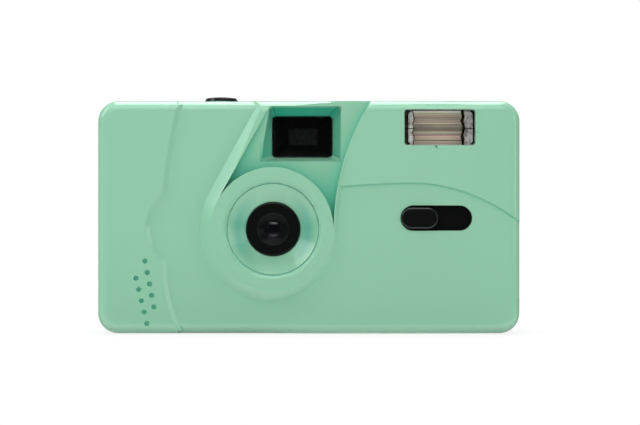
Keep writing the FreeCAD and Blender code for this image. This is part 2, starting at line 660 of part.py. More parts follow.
screw_holes = [
    *[rod("Z", "screw_body", (x, "base_screw_y"), ("-1", "wall + 1")) for x in ("base_screw_left", "base_screw_right")],
    *[rod("Z", "screw_head + 0.2", (x, "base_screw_y"), ("-1", "0.8")) for x in ("base_screw_left", "base_screw_right")],
    rod("X", "screw_body", ("side_screw_y", "side_screw_left_z"), (f"-{HALF} - 1", f"wall + 1 - {HALF}")),
    rod("X", "screw_head + 0.2", ("side_screw_y", "side_screw_left_z"), (f"-{HALF} - 1", f"0.8 - {HALF}")),
    rod("X", "screw_body", ("side_screw_y", "side_screw_right_z"), (f"{HALF} - wall - 1", f"{HALF} + 1")),
    rod("X", "screw_head + 0.2", ("side_screw_y", "side_screw_right_z"), (f"{HALF} - 0.8", f"{HALF} + 1")),
]
latch_stop = block((f"{HALF} - wall - 1.6", f"{HALF} - wall + 0.1"), ("latch_y - 1", "latch_y + 1"),
                   ("latch_plate_low - 5.4", "latch_plate_low - 4.6"))
WHEEL_HALF = "(sqrt((wheel_round + wheel_gap)^2 - (back_face - wall - wheel_y)^2) + wheel_gap)"
openings = [
    block((f"wheel_x - {WHEEL_HALF}", f"wheel_x + {WHEEL_HALF}"), ("door_seam", "back_face + 1"),
          ("wheel_low - wheel_gap", "wheel_high + wheel_gap")),
    block(("finder_x - eye_wide / 2", "finder_x + eye_wide / 2"), ("door_seam", "back_face + 1"),
          ("eye_z - eye_high / 2", "eye_z + eye_high / 2")),
    rod("Y", "lamp_round + 0.05", ("lamp_x", "lamp_z"), ("door_seam", "back_face + 1")),
    rod("Z", "button_round + button_gap", ("button_x", "button_y"), ("body_height - wall - 1", "body_height + 2")),
    block(("counter_x - counter_wide / 2", "counter_x + counter_wide / 2"),
          ("counter_window_y - counter_deep / 2", "counter_window_y + counter_deep / 2"), ("body_height - wall - 1", "body_height + 1")),
    block(("battery_x - battery_door_half - gap / 2", "battery_x + battery_door_half + gap / 2"),
          ("battery_y - battery_door_half - gap / 2", "battery_y + battery_door_half + gap / 2"), ("-1", "wall + 1")),
    rod("Z", "release_round + 0.1", ("release_x", "release_y"), ("-1", "wall + 1")),
    block((f"{HALF} - wall - 1", f"{HALF} + 1"), ("latch_y - latch_half - 0.1", "latch_y + latch_half + 0.1"), ("latch_low", "latch_high")),
    rod("Z", "knob_round + knob_gap", ("chamber_x", "chamber_y"), ("-1", "wall + 1")),
    rod("Z", "pin_round", ("hinge_x", "hinge_y"), ("knuckle_low - 1", "knuckle_high + 1")),
    rod("Y", "battery_pin + 0.06", (BATTERY_HINGE_X, "battery_hinge_z"),
        ("battery_y - battery_door_half - 1", "battery_y + battery_door_half + 1")),
]
rear_cover = piece("rear_cover", cut(
    join(cut(back_block, back_inside, door_zone), ledge, button_seat, fixed_knuckles, strap_skin, latch_stop),
    *openings, *screw_holes, strap_pocket, name="rear_body",
))

# The rewind knob turns in a cup that stands on the floor of the rear cover.
piece("rewind_cup", cut(
    common(
        rod("Z", "knob_round + knob_gap + cup_wall", ("chamber_x", "chamber_y"), ("wall", "cup_top")),
        block(("0", HALF), ("front_seam + 0.05", "door_seam"), ("wall", "cup_top")),
    ),
    rod("Z", "knob_round + knob_gap", ("chamber_x", "chamber_y"), ("0", "cup_floor")),
    rod("Z", "sleeve_round + sleeve_gap", ("chamber_x", "chamber_y"), ("0", "cup_top + 1")), name="cup",
))

# The film door is a shallow tray on a hinge pin down its left edge.
door_tray = join(
    block((f"-{HALF} - 1", f"{HALF} + 1"), ("door_seam + gap", "back_face + 1"), ("-1", "door_height")),
    block((f"-{HALF} - 1", f"wall - {HALF}"), ("left_wall_end + rim_gap", "door_seam + 1"), ("-1", "door_height")),
)
door_inside = slab("XZ", rectangle((f"wall - {HALF}", f"{HALF} - wall"), ("wall", "door_height + 2 * wall")), "0", "back_face - wall")
rounded(door_inside, "edge_round - wall", lambda edge: edge.BoundBox.YMin > number("back_face - wall") - 0.01)
door_knuckle = join(
    rod("Z", "knuckle_round", ("hinge_x", "hinge_y"),
        ("knuckle_low + knuckle_long + knuckle_gap", "knuckle_high - knuckle_long - knuckle_gap")),
    block(("hinge_x - knuckle_round", "hinge_x + knuckle_round"), ("hinge_y", "door_seam + gap + 0.5"),
          ("knuckle_low + knuckle_long + knuckle_gap", "knuckle_high - knuckle_long - knuckle_gap")),
)
knuckle_room = join(*[
    block((f"-{HALF} - 1", "hinge_x + knuckle_round + knuckle_gap"), ("left_wall_end - 1", "hinge_y + knuckle_round + knuckle_gap"),
          (f"{low} - knuckle_gap", f"{low} + knuckle_long + knuckle_gap"))
    for low in ("knuckle_low", "knuckle_high - knuckle_long")
])
catch = block((f"{HALF} - wall - 1", f"{HALF} - wall"), ("door_seam - catch_reach", "back_face - wall"),
              ("catch_z - catch_long / 2", "catch_z + catch_long / 2"), "catch")
film_door = piece("film_door", cut(
    join(cut(common(back_block, door_tray), door_inside, knuckle_room), door_knuckle, catch),
    rod("Z", "pin_round + 0.05", ("hinge_x", "hinge_y"), ("0", "body_height")), name="door_body",
))
hinge_pin = piece("door_hinge_pin", rod("Z", "pin_round", ("hinge_x", "hinge_y"), ("knuckle_low - 1", "knuckle_high + 1"), "hinge_rod"))

# The chassis carries the film: two chambers, the gate, the light tunnel and the deck over them.
GATE_BACK = "(gate_face - gate_thick)"


def chamber(x, y, inner, thick, low, high, back):
    """A chamber that is round in front and open to the back."""
    outer_round = f"({inner} + {thick})"
    wall_body = cut(
        join(
            rod("Z", outer_round, (x, y), (low, high)),
            block((f"{x} - {outer_round}", f"{x} + {outer_round}"), (y, back), (low, high)),
        ),
        block((f"{x} - {outer_round}", f"{x} + {outer_round}"), (back, "back_face"), (f"{low} - 1", f"{high} + 1")),
    )
    room = join(
        rod("Z", inner, (x, y), (f"{low} + floor_thick", high)),
        block((f"{x} - {inner}", f"{x} + {inner}"), (y, "back_face"), (f"{low} + floor_thick", high)),
    )
    return wall_body, room


def frame_limits(wide, high, grow="0"):
    """The x and z limits of a rectangle about the lens axis."""
    return (f"lens_x - {wide} / 2 - {grow}", f"lens_x + {wide} / 2 + {grow}",
            f"lens_z - {high} / 2 - {grow}", f"lens_z + {high} / 2 + {grow}")


spool_wall_body, spool_space = chamber("wheel_x", "wheel_y", "spool_room", "spool_wall", "spool_floor", "chassis_top", "gate_face")
cartridge_body, cartridge_space = chamber("chamber_x", "chamber_y", "cartridge_room", "cartridge_wall", "cartridge_floor",
                                          "chassis_top", "gate_face")
gate = block(("gate_left", "gate_right"), (GATE_BACK, "gate_face"), ("gate_low", "chassis_top"), "gate")
tunnel_skin = taper(frame_limits("2 * tunnel_mouth", "2 * tunnel_mouth", "tunnel_wall"),
                    frame_limits("frame_wide", "frame_high", "tunnel_wall"), ("tunnel_front", GATE_BACK), "tunnel_skin")
tunnel_room = join(
    taper(frame_limits("(2 * tunnel_mouth - 2)", "(2 * tunnel_mouth - 2)"), frame_limits("frame_wide", "frame_high"),
          ("tunnel_front + bulkhead_thick", GATE_BACK)),
    block(("lens_x - frame_wide / 2", "lens_x + frame_wide / 2"), (GATE_BACK, "gate_face + 2"),
          ("lens_z - frame_high / 2", "lens_z + frame_high / 2")),
    rod("Y", "tunnel_mouth - 1", ("lens_x", "lens_z"), ("tunnel_front - 1", "tunnel_front + bulkhead_thick + 0.5")),
    name="tunnel_room",
)
bulkhead = block(("bulkhead_left", "bulkhead_right"), ("tunnel_front", "tunnel_front + bulkhead_thick"),
                 ("bulkhead_low", "bulkhead_high"))
rails = [
    block(("gate_left", "gate_right"), ("gate_face - 0.2", "gate_face + rail_rise"), (low, f"{low} + rail_wide"))
    for low in ("lens_z - frame_high / 2 - 0.6 - rail_wide", "lens_z + frame_high / 2 + 0.6")
] + [
    block(("gate_left", "gate_right"), ("gate_face - 0.2", "gate_face + guide_rise"), (low, f"{low} + rail_wide"))
    for low in ("lens_z - film_wide / 2 - 0.1 - rail_wide", "lens_z + film_wide / 2 + 0.1")
]
deck = cut(
    block(("deck_left", "deck_right"), ("deck_front", "gate_face"), ("chassis_top", "chassis_top + deck_thick")),
    block(("finder_cut_left", "finder_cut_right"), ("deck_front - 1", "gate_face + 1"), ("chassis_top - 1", "chassis_top + 2")),
    name="deck",
)
deck_bridge = block(("gate_left", "gate_right"), (GATE_BACK, "gate_face"), ("chassis_top - 0.5", "chassis_top + 0.6"))
battery_tube = cut(
    rod("Z", "battery_room + battery_wall", ("battery_x", "battery_y"), ("battery_low", "battery_high")),
    rod("Z", "battery_room", ("battery_x", "battery_y"), ("0", "battery_high - floor_thick")), name="battery_tube",
)
battery_web = block(("chamber_x + cartridge_room + 0.3", "battery_x - battery_room - 0.3"), ("battery_y - 3", "battery_y + 3"),
                    ("cartridge_floor", "chassis_top"))
dial_stand = join(
    rod("Z", "dial_post", ("dial_x", "dial_y"), ("chassis_top", "dial_low - 0.1")),
    rod("Z", "dial_pin", ("dial_x", "dial_y"), ("dial_low - 0.2", "dial_low + dial_thick + 0.6")),
)
post_tubes = [
    rod("Y", "post_round", (x, "post_z"), ("post_end", "gate_face")) for x in ("post_left", "post_right")
]
shaft_holes = [
    rod("Z", "spool_shaft + run", ("wheel_x", "wheel_y"), ("chassis_top - 1", "chassis_top + 3")),
    rod("Z", "spool_pin + run", ("wheel_x", "wheel_y"), ("spool_floor - 1", "spool_floor + 2")),
    rod("Z", "sprocket_shaft + run", ("sprocket_x", "sprocket_y"), ("chassis_top - 1", "chassis_top + 3")),
    rod("Z", "sleeve_round + 0.3", ("chamber_x", "chamber_y"), ("cartridge_floor - 1", "cartridge_floor + 2")),
    rod("Z", "sprocket_round + 1.9", ("sprocket_x", "sprocket_y"), ("sprocket_low - 0.5", "sprocket_high + 0.5")),
    *[rod("Y", "screw_body", (x, "post_z"), ("post_end - 1", "gate_face + 1")) for x in ("post_left", "post_right")],
    *[rod("Y", "screw_head", (x, "post_z"), ("gate_face - 1.4", "gate_face + 1")) for x in ("post_left", "post_right")],
]
door_room = block(("deck_left - 1", f"{HALF}"), ("door_seam - gap", "back_face"),
                  ("door_height - wall - gap / 2", "body_height"))
chassis = piece("chassis", cut(
    join(spool_wall_body, cartridge_body, gate, tunnel_skin, bulkhead, *rails, deck, deck_bridge, battery_tube, battery_web,
         dial_stand, *post_tubes),
    spool_space, cartridge_space, tunnel_room, door_room, *shaft_holes, name="chassis_body",
))

# The film moves by a thumbwheel on the take-up spool, and turns a sprocket that steps the counter dial.
spool = turned("Z", [
    ("0", "spool_floor + 0.05"), ("spool_pin", "spool_floor + 0.05"), ("spool_pin", "spool_foot"),
    ("spool_flange", "spool_foot"), ("spool_flange", "spool_foot + flange_thick"),
    ("spool_core", "spool_foot + flange_thick"), ("spool_core", "spool_head - flange_thick"),
    ("spool_flange", "spool_head - flange_thick"), ("spool_flange", "spool_head"), ("spool_shaft", "spool_head"),
    ("spool_shaft", "hub_high - 0.6"), ("0", "hub_high - 0.6"),
], ("wheel_x", "wheel_y"), "spool")
spool_slot = pocket(spool, "XY", [
    ("spool_core - 1.6", "-slot_wide / 2"), ("spool_core + 1", "-slot_wide / 2"),
    ("spool_core + 1", "slot_wide / 2"), ("spool_core - 1.6", "slot_wide / 2"),
], "spool_foot + 4", "spool_head - 4")
repeated(spool, spool_slot, "spool_slots")
piece("takeup_spool", spool)

wheel = turned("Z", [
    ("spool_shaft + 0.05", "wheel_low - 0.9"), ("hub_round", "wheel_low - 0.9"), ("hub_round", "wheel_high - 2 - wheel_web"),
    ("wheel_round - wheel_rim", "wheel_high - 2 - wheel_web"), ("wheel_round - wheel_rim", "wheel_low"),
    ("wheel_round", "wheel_low"), ("wheel_round", "wheel_high"), ("wheel_round - wheel_rim", "wheel_high"),
    ("wheel_round - wheel_rim", "wheel_high - 2"), ("hub_round", "wheel_high - 2"), ("hub_round", "wheel_high"),
    ("spool_shaft + 0.05", "wheel_high"),
], ("wheel_x", "wheel_y"), "wheel")
tooth_gap = pocket(wheel, "XY", [
    ("wheel_round - tooth_deep", "-tooth_wide / 4"), ("wheel_round + 0.5", "-tooth_wide"),
    ("wheel_round + 0.5", "tooth_wide"), ("wheel_round - tooth_deep", "tooth_wide / 4"),
], "wheel_low - 1", "wheel_high + 1")
repeated(wheel, tooth_gap, "wheel_teeth")
piece("advance_wheel", wheel)

TOOTH = [
    ("sprocket_round - 0.4", "-0.75"), ("sprocket_round + sprocket_tooth", "-0.35"),
    ("sprocket_round + sprocket_tooth", "0.35"), ("sprocket_round - 0.4", "0.75"),
]
sprocket = turned("Z", [
    ("0", "sprocket_low - 0.3"), ("sprocket_core", "sprocket_low - 0.3"), ("sprocket_round", "sprocket_low"),
    ("sprocket_round", "sprocket_high"), ("sprocket_core", "sprocket_high"), ("sprocket_core", "chassis_top - 0.2"),
    ("sprocket_shaft", "chassis_top - 0.2"), ("sprocket_shaft", "sprocket_top"), ("0", "sprocket_top"),
], ("sprocket_x", "sprocket_y"), "sprocket_body")
tooth = sprocket.newObject("PartDesign::Pad", "tooth")
tooth.Profile = outline(sprocket, "XY", TOOTH, "(sprocket_low + sprocket_high) / 2 - 0.6")
bind(tooth, "Length", "1.2")
DOC.recompute()
repeated(sprocket, tooth, "sprocket_teeth")
finger = sprocket.newObject("PartDesign::Pad", "finger")
finger.Profile = outline(sprocket, "XY", [
    ("-1", "-1.5"), ("1.2", "-1.5"), ("finger_round - 0.4", "-0.35"), ("finger_round - 0.4", "0.35"), ("1.2", "1.5"), ("-1", "1.5"),
], "dial_low")
bind(finger, "Length", "dial_thick")
DOC.recompute()
piece("sprocket", sprocket)

dial = turned("Z", [
    ("dial_pin + run", "dial_low"), ("dial_round", "dial_low"), ("dial_round", "dial_low + dial_thick"),
    ("dial_pin + run", "dial_low + dial_thick"),
], ("dial_x", "dial_y"), "dial")
dial_notch = pocket(dial, "XY", [
    ("dial_round - dial_tooth", "-0.15"), ("dial_round + 0.3", "-0.4"), ("dial_round + 0.3", "0.4"), ("dial_round - dial_tooth", "0.15"),
], "dial_low - 1", "dial_low + 2")
repeated(dial, dial_notch, "dial_teeth")
piece("counter_dial", dial)
counter_window = piece("counter_window", join(
    block(("counter_x - counter_wide / 2 + 0.05", "counter_x + counter_wide / 2 - 0.05"),
          ("counter_window_y - counter_deep / 2 + 0.05", "counter_window_y + counter_deep / 2 - 0.05"),
          ("body_height - wall", "body_height - 0.1")),
    block(("counter_x - counter_wide / 2 - 0.5", "counter_x + counter_wide / 2 + 0.5"),
          ("counter_window_y - counter_deep / 2 - 0.7", "counter_window_y + counter_deep / 2 + 0.7"),
          ("body_height - wall - 0.7", "body_height - wall")), name="counter_pane",
))
PAWL_Y = "(wheel_y - wheel_round - pawl_gap)"
piece("wheel_pawl", join(
    block(("wheel_x - 2", "wheel_x + 2"), (f"{PAWL_Y} - pawl_thick", "deck_front + 3"),
          ("chassis_top + deck_thick", "chassis_top + deck_thick + pawl_thick")),
    block(("wheel_x - 2", "wheel_x + 2"), (f"{PAWL_Y} - pawl_thick", PAWL_Y),
          ("chassis_top + deck_thick", "wheel_low + pawl_high")), name="pawl_leaf",
))

# The shutter button rides in the top of the rear cover, on its spring, and tips the release lever.
DOME = "(((button_round - 0.7)^2 + dome_rise^2) / (2 * dome_rise))"
button = turned("Z", [
    ("0", "stem_low"), ("button_stem", "stem_low"), ("button_stem", "flange_level - 0.6"), ("flange_round", "flange_level - 0.6"),
    ("flange_round", "flange_level + 0.5"), ("button_round", "flange_level + 0.5"),
    ("button_round", "button_top - button_dome"), ("button_round - 0.7", "button_top - dome_rise", DOME), ("0", "button_top"),
], ("button_x", "button_y"), "button")
piece("shutter_button", button)


def spring_sleeve(radius, wire, centre, span, name):
    """The space that a helical spring's turns fill: a sleeve as thick as the wire."""
    return cut(rod("Z", f"{radius} + {wire} / 2", centre, span),
               rod("Z", f"{radius} - {wire} / 2", centre, (f"{span[0]} - 1", f"{span[1]} + 1")), name=name)


tower = cut(
    rod("Z", "tower_round", ("button_x", "button_y"), ("chassis_top + deck_thick", "tower_top")),
    rod("Z", "button_stem + run", ("button_x", "button_y"), ("chassis_top", "tower_top + 1")),
    block(("button_x - 1.7", "button_x + 5"), ("button_y - 7", "button_y + 1.3"), ("chassis_top + deck_thick + 0.2", "stem_low + 0.5")),
    name="tower",
)
piece("button_guide", tower)
piece("button_spring", spring_sleeve("button_spring_round", "spring_wire", ("button_x", "button_y"),
                                     ("tower_top", "flange_level - 0.6"), "button_coil"))

# The release lever tips on a pin over the deck and trips the cocked lever, which strikes the shutter blade.
lever_bar = block(("button_x - 1.4", "lever_x + lever_nose"), ("lever_y - lever_wide / 2", "lever_y + lever_wide / 2"),
                  ("lever_z - lever_thick / 2", "lever_z + lever_thick / 2"))
lever_tongue = block(("button_x - 1.4", "button_x + 1.4"), ("lever_y", "button_y + 1"),
                     ("lever_z - lever_thick / 2", "lever_z + lever_thick / 2"))
lever_tail = block(("lever_x + lever_nose - 1.2", "lever_x + lever_nose"), ("lever_y - lever_wide / 2", "lever_y + lever_wide / 2"),
                   ("lever_z - 1.4", "lever_z + lever_thick / 2"))
release_lever = piece("release_lever", cut(
    join(lever_bar, lever_tongue, lever_tail, rod("Y", "1.7", ("lever_x", "lever_z"), ("lever_y - lever_wide / 2", "lever_y + lever_wide / 2"))),
    rod("Y", "lever_pin + run", ("lever_x", "lever_z"), ("lever_y - 3", "lever_y + 3")), name="release_bar",
))
lever_stand = piece("lever_bracket", join(
    rod("Y", "lever_pin", ("lever_x", "lever_z"), ("lever_y - lever_wide / 2 - 0.9", "lever_y + lever_wide / 2 + 0.3")),
    block(("lever_x - 1.6", "lever_x + 1.6"), ("lever_y + lever_wide / 2 + 0.2", "lever_y + lever_wide / 2 + 1.1"),
          ("chassis_top + deck_thick", "lever_z + 1.4")),
    block(("lever_x - 1.6", "lever_x + 1.6"), ("deck_front", "lever_y + lever_wide / 2 + 1.1"),
          ("chassis_top + deck_thick", "chassis_top + deck_thick + 0.3")), name="lever_stand",
))
piece("cocking_lever", cut(
    join(
        rod("Z", "2.1", ("cocking_x", "cocking_y"), ("cocking_low", "cocking_low + cocking_thick")),
        block(("cocking_x - 1", "cocking_x + 1"), ("cocking_y", "cocking_y + cocking_arm"), ("cocking_low", "cocking_low + cocking_thick")),
        block(("cocking_x", "cocking_x + 4"), ("cocking_y - 1", "cocking_y + 1"), ("cocking_low", "cocking_low + cocking_thick")),
    ),
    rod("Z", "lever_pin + run", ("cocking_x", "cocking_y"), ("cocking_low - 1", "cocking_low + 3")), name="cocking_arms",
))
piece("cocking_pin", rod("Z", "lever_pin", ("cocking_x", "cocking_y"), ("chassis_top + deck_thick", "cocking_low + cocking_thick + 0.4"), "cocking_post"))
BLADE_FACE = "(shutter_plate + plate_thick + blade_gap)"
shutter_board = piece("shutter_plate", cut(
    join(
        block(("shutter_left", "shutter_right"), ("shutter_plate", "shutter_plate + plate_thick"), ("shutter_low", "shutter_high")),
        rod("Y", "0.9", ("blade_pivot_x", "blade_pivot_z"), ("shutter_plate + 0.1", f"{BLADE_FACE} + 1.2")),
        *[rod("Y", "1.6", (x, z), ("shutter_plate + plate_thick - 0.1", "tunnel_front"))
          for x, z in (("shutter_left + 2", "shutter_low + 2"), ("shutter_right - 2", "shutter_low + 2"), ("shutter_right - 2", "shutter_high - 2"))],
    ),
    rod("Y", "stop_round", ("lens_x", "lens_z"), ("shutter_plate - 1", "shutter_plate + 2")), name="shutter_board",
))
blade = cut(
    join(
        rod("Y", "blade_hub", ("blade_pivot_x", "blade_pivot_z"), (BLADE_FACE, f"{BLADE_FACE} + blade_thick")),
        rod("Y", "3.2", ("lens_x", "lens_z"), (BLADE_FACE, f"{BLADE_FACE} + blade_thick")),
        slab("XZ", [("blade_pivot_x - 1", "blade_pivot_z - 1.2"), ("lens_x - 2", "lens_z - 2.5"), ("lens_x + 1.8", "lens_z + 2.6"),
                    ("blade_pivot_x + 1", "blade_pivot_z + 1.2")], BLADE_FACE, f"{BLADE_FACE} + blade_thick", "blade_web"),
        slab("XZ", [("blade_pivot_x - 1", "blade_pivot_z"), ("blade_pivot_x + 1", "blade_pivot_z"),
                    ("blade_pivot_x + 1.5", "blade_pivot_z + 4.6"), ("blade_pivot_x - 0.5", "blade_pivot_z + 4.6")],
             BLADE_FACE, f"{BLADE_FACE} + blade_thick", "blade_tail"),
    ),
    rod("Y", "0.9 + run", ("blade_pivot_x", "blade_pivot_z"), ("shutter_plate", f"{BLADE_FACE} + 2")), name="blade",
)
piece("shutter_blade", blade)
piece("lens_hood", turned("Y", [
    ("hood_mouth", "hood_face + 0.3"), ("hood_mouth + 0.3", "hood_face"), ("hood_round - 0.4", "hood_face"),
    ("hood_round", "hood_face + 0.4"), ("hood_round", "dish_back"), ("hood_flange", "dish_back"),
    ("hood_flange", "dish_back + hood_flange_thick"), ("lens_round + 0.05", "dish_back + hood_flange_thick"),
    ("lens_round + 0.05", "lens_front - 0.3"), ("hood_throat", "lens_front - 0.5"),
], ("lens_x", "lens_z"), "hood"))
LENS_ROUND = "(((lens_round - 0.6)^2 + lens_bulge^2) / (2 * lens_bulge))"
piece("taking_lens", turned("Y", [
    ("0", "lens_front - lens_bulge", LENS_ROUND), ("lens_round - 0.6", "lens_front"), ("lens_round", "lens_front"), ("lens_round", "lens_back"), ("0", "lens_back"),
], ("lens_x", "lens_z"), "lens"))
piece("lens_retainer", turned("Y", [
    ("2.2", "lens_back"), ("retainer_round", "lens_back"), ("retainer_round", "shutter_plate"), ("2.2", "shutter_plate"),
], ("lens_x", "lens_z"), "retainer"))

# The finder looks through a clear front window, a black tapered tunnel and a small eyepiece.
piece("finder_window", block(("window_left - pane_edge", "window_right + pane_edge"), ("window_level", "window_level + pane_thick"),
                             ("window_low - pane_edge", "window_top + pane_edge"), "finder_pane"))


def window_limits(grow="0"):
    return f"window_left - {grow}", f"window_right + {grow}", f"window_low - {grow}", f"window_top + {grow}"


def eye_limits(grow="0"):
    return (f"finder_x - eye_inner_wide / 2 - {grow}", f"finder_x + eye_inner_wide / 2 + {grow}",
            f"eye_centre_z - eye_inner_high / 2 - {grow}", f"eye_centre_z + eye_inner_high / 2 + {grow}")


piece("finder_tunnel", cut(
    taper(window_limits("tunnel_skin"), eye_limits("tunnel_skin"), ("window_level + pane_thick", "tunnel_back")),
    taper(window_limits(), eye_limits(), ("window_level + pane_thick - 0.01", "tunnel_back + 0.01")), name="finder_box",
))
piece("finder_eyepiece", join(
    block(("finder_x - eye_wide / 2 + 0.05", "finder_x + eye_wide / 2 - 0.05"), ("back_face - wall", "back_face - 0.6"),
          ("eye_z - eye_high / 2 + 0.05", "eye_z + eye_high / 2 - 0.05")),
    block(("finder_x - eye_wide / 2 - 0.8", "finder_x + eye_wide / 2 + 0.8"), ("back_face - wall - 1.2", "back_face - wall"),
          ("eye_z - eye_high / 2 - 0.8", "eye_z + eye_high / 2 + 0.8")), name="eyepiece_glass",
))

# The flash: a ribbed clear window, a bright trough with the tube across it, and its circuit behind.
FLASH_Z = "((flash_low + flash_top) / 2)"
PANE = rectangle(("flash_left + flash_gap", "flash_right - flash_gap"), ("flash_low + flash_gap", "flash_top - flash_gap"))
pane = slab("XZ", PANE, "flash_face", "right_peak + wall + 1.2", "pane")
rounded(pane, "flash_round - flash_gap", along("y"))
rounded(pane, "0.3", lambda edge: edge.BoundBox.YMax < number("flash_face") + 0.01)
pane_lip = block(("flash_left - flash_lip", "flash_right + flash_lip"), ("slide_face + 0.1", "slide_face + 0.9"),
                 ("flash_low - 0.5", "body_height - wall - 0.3"))
pane_core = slab("XZ", PANE, "flash_face + 1", "slide_face + 0.9", "pane_core")
rounded(pane_core, "flash_round - flash_gap", along("y"))
ribs = join(*[
    rod("X", "rib_deep * 2.4",
        ("slide_face + 0.9 + rib_deep * 1.4", f"flash_low + 1.3 + (flash_top - flash_low - 2.6) / (rib_count - 1) * {i}"),
        ("flash_left + 0.6", "flash_right - 0.6"))
    for i in range(int(number("rib_count")))
])
piece("flash_window", cut(join(pane, pane_core, pane_lip), ribs, name="flash_glass"))


def trough(inset, front, back):
    """The reflector's section: deep curved sides round the tube."""
    low, high = f"(flash_low + 0.4 + {inset})", f"(flash_top - 0.6 - {inset})"
    half = f"(({high} - {low}) / 2)"
    deep = f"({back} - {front})"
    bow = f"((({half})^2 + ({deep})^2) / (2 * {half}) * 1.02)"
    return [(front, low, bow), (back, f"({low} + {high}) / 2", bow), (front, high)]


reflector_front = "slide_face + 1.1"
piece("flash_reflector", cut(
    slab("YZ", trough("0", reflector_front, "reflector_back"), "flash_left", "flash_right", "trough_skin"),
    slab("YZ", trough("reflector_skin", "slide_face", "reflector_back - reflector_skin"), "flash_left + reflector_skin",
         "flash_right - reflector_skin", "trough_room"),
    rod("X", "tube_round + 0.2", ("tube_level", FLASH_Z), ("flash_left - 1", "flash_right + 1")), name="reflector",
))
piece("flash_tube", rod("X", "tube_round", ("tube_level", FLASH_Z), ("flash_left - tube_reach", "flash_right + tube_reach"), "glass_tube"))
piece("tube_holders", join(*[
    cut(
        block((low, high), ("slide_face + 1.1", "reflector_back"), ("flash_low - 0.1", "flash_top + 0.3")),
        rod("X", "tube_round + 0.05", ("tube_level", FLASH_Z), ("flash_left - 5", "flash_right + 5")),
    )
    for low, high in (("flash_left - tube_reach - 0.8", "flash_left - 0.05"), ("flash_right + 0.05", "flash_right + tube_reach + 0.8"))
], name="holders"))
piece("flash_board", cut(
    block(("board_left", "board_right"), ("board_face", "board_face + board_thick"), ("board_low", "board_high")),
    rod("Y", "1", ("board_left + 2.2", "board_high - 2.2"), ("board_face - 1", "0")), name="board",
))
piece("board_parts", join(*[
    block((f"board_left + {x}", f"board_left + {x} + {wide}"), ("board_face - 0.4", "board_face"), (f"board_low + {z}", f"board_low + {z} + {high}"))
    for x, z, wide, high in ((5, 2, 3, 1.6), (10, 3, 1.6, 3), (14, 1.6, 3.4, 2.2), (20, 3.4, 2, 1.2), (6.5, 6.4, 4, 1.8), (16, 6.2, 1.6, 3))
], name="chips"))
piece("flash_capacitor", turned("X", [
    ("0", "capacitor_left"), ("capacitor_round - 0.5", "capacitor_left"), ("capacitor_round", "capacitor_left + 0.5"),
    ("capacitor_round", "capacitor_right - 2.6"), ("capacitor_round - 0.35", "capacitor_right - 2.2"),
    ("capacitor_round - 0.35", "capacitor_right - 1.8"), ("capacitor_round", "capacitor_right - 1.4"),
    ("capacitor_round", "capacitor_right - 0.4"), ("capacitor_round - 0.4", "capacitor_right"), ("0", "capacitor_right"),
], ("capacitor_y", "capacitor_z"), "can"))
piece("flash_transformer", join(
    block(("board_right + 1.4", "board_right + 1.4 + core_wide"), ("board_face + 0.7", "board_face + 0.7 + core_deep"),
          ("board_low + 4", "board_low + 4 + core_high")),
    rod("Z", "core_deep / 2 + 0.2", ("board_right + 1.4 + core_wide / 2", "board_face + 0.7 + core_deep / 2"),
        ("board_low + 2.4", "board_low + 5.6 + core_high")), name="transformer",
))
piece("trigger_coil", rod("X", "coil_round", ("-10.5", "board_low + 17"), ("board_left + 0.6", "board_left + 7.6"), "small_coil"))
piece("ready_lamp", turned("Y", [
    ("0", "back_face - wall - 2.4"), ("lamp_flange", "back_face - wall - 2.4"), ("lamp_flange", "back_face - wall"), ("lamp_round", "back_face - wall"),
    ("lamp_round", "back_face - 0.5"), ("lamp_round - 0.5", "back_face - 0.1"), ("0", "back_face"),
], ("lamp_x", "lamp_z"), "lamp"))

# The flash switch slides in the cover; its black plate closes the slot at both ends of the travel.
KNOB_ROUND = "(knob_high / 2)"
KNOB_LEFT = "(slot_left + 0.15)"
knob = slab("XZ", [
    (f"{KNOB_LEFT} + {KNOB_ROUND}", f"{SLOT_MIDDLE} - {KNOB_ROUND}"),
    (f"{KNOB_LEFT} + knob_wide - {KNOB_ROUND}", f"{SLOT_MIDDLE} - {KNOB_ROUND}", KNOB_ROUND),
    (f"{KNOB_LEFT} + knob_wide", SLOT_MIDDLE, KNOB_ROUND),
    (f"{KNOB_LEFT} + knob_wide - {KNOB_ROUND}", f"{SLOT_MIDDLE} + {KNOB_ROUND}"),
    (f"{KNOB_LEFT} + {KNOB_ROUND}", f"{SLOT_MIDDLE} + {KNOB_ROUND}", KNOB_ROUND), (KNOB_LEFT, SLOT_MIDDLE, KNOB_ROUND),
], "knob_face", "slide_face + 0.2", "knob")
rounded(knob, "knob_edge", lambda edge: edge.BoundBox.YMax < number("knob_face") + 0.01)
piece("flash_switch", join(
    knob,
    block(("slot_left - slide_margin - switch_travel", "slot_right + slide_margin"), ("slide_face + 0.1", "slide_face + 0.1 + slide_thick"),
          ("slot_low - slide_margin", "slot_high + slide_margin")), name="slider",
))

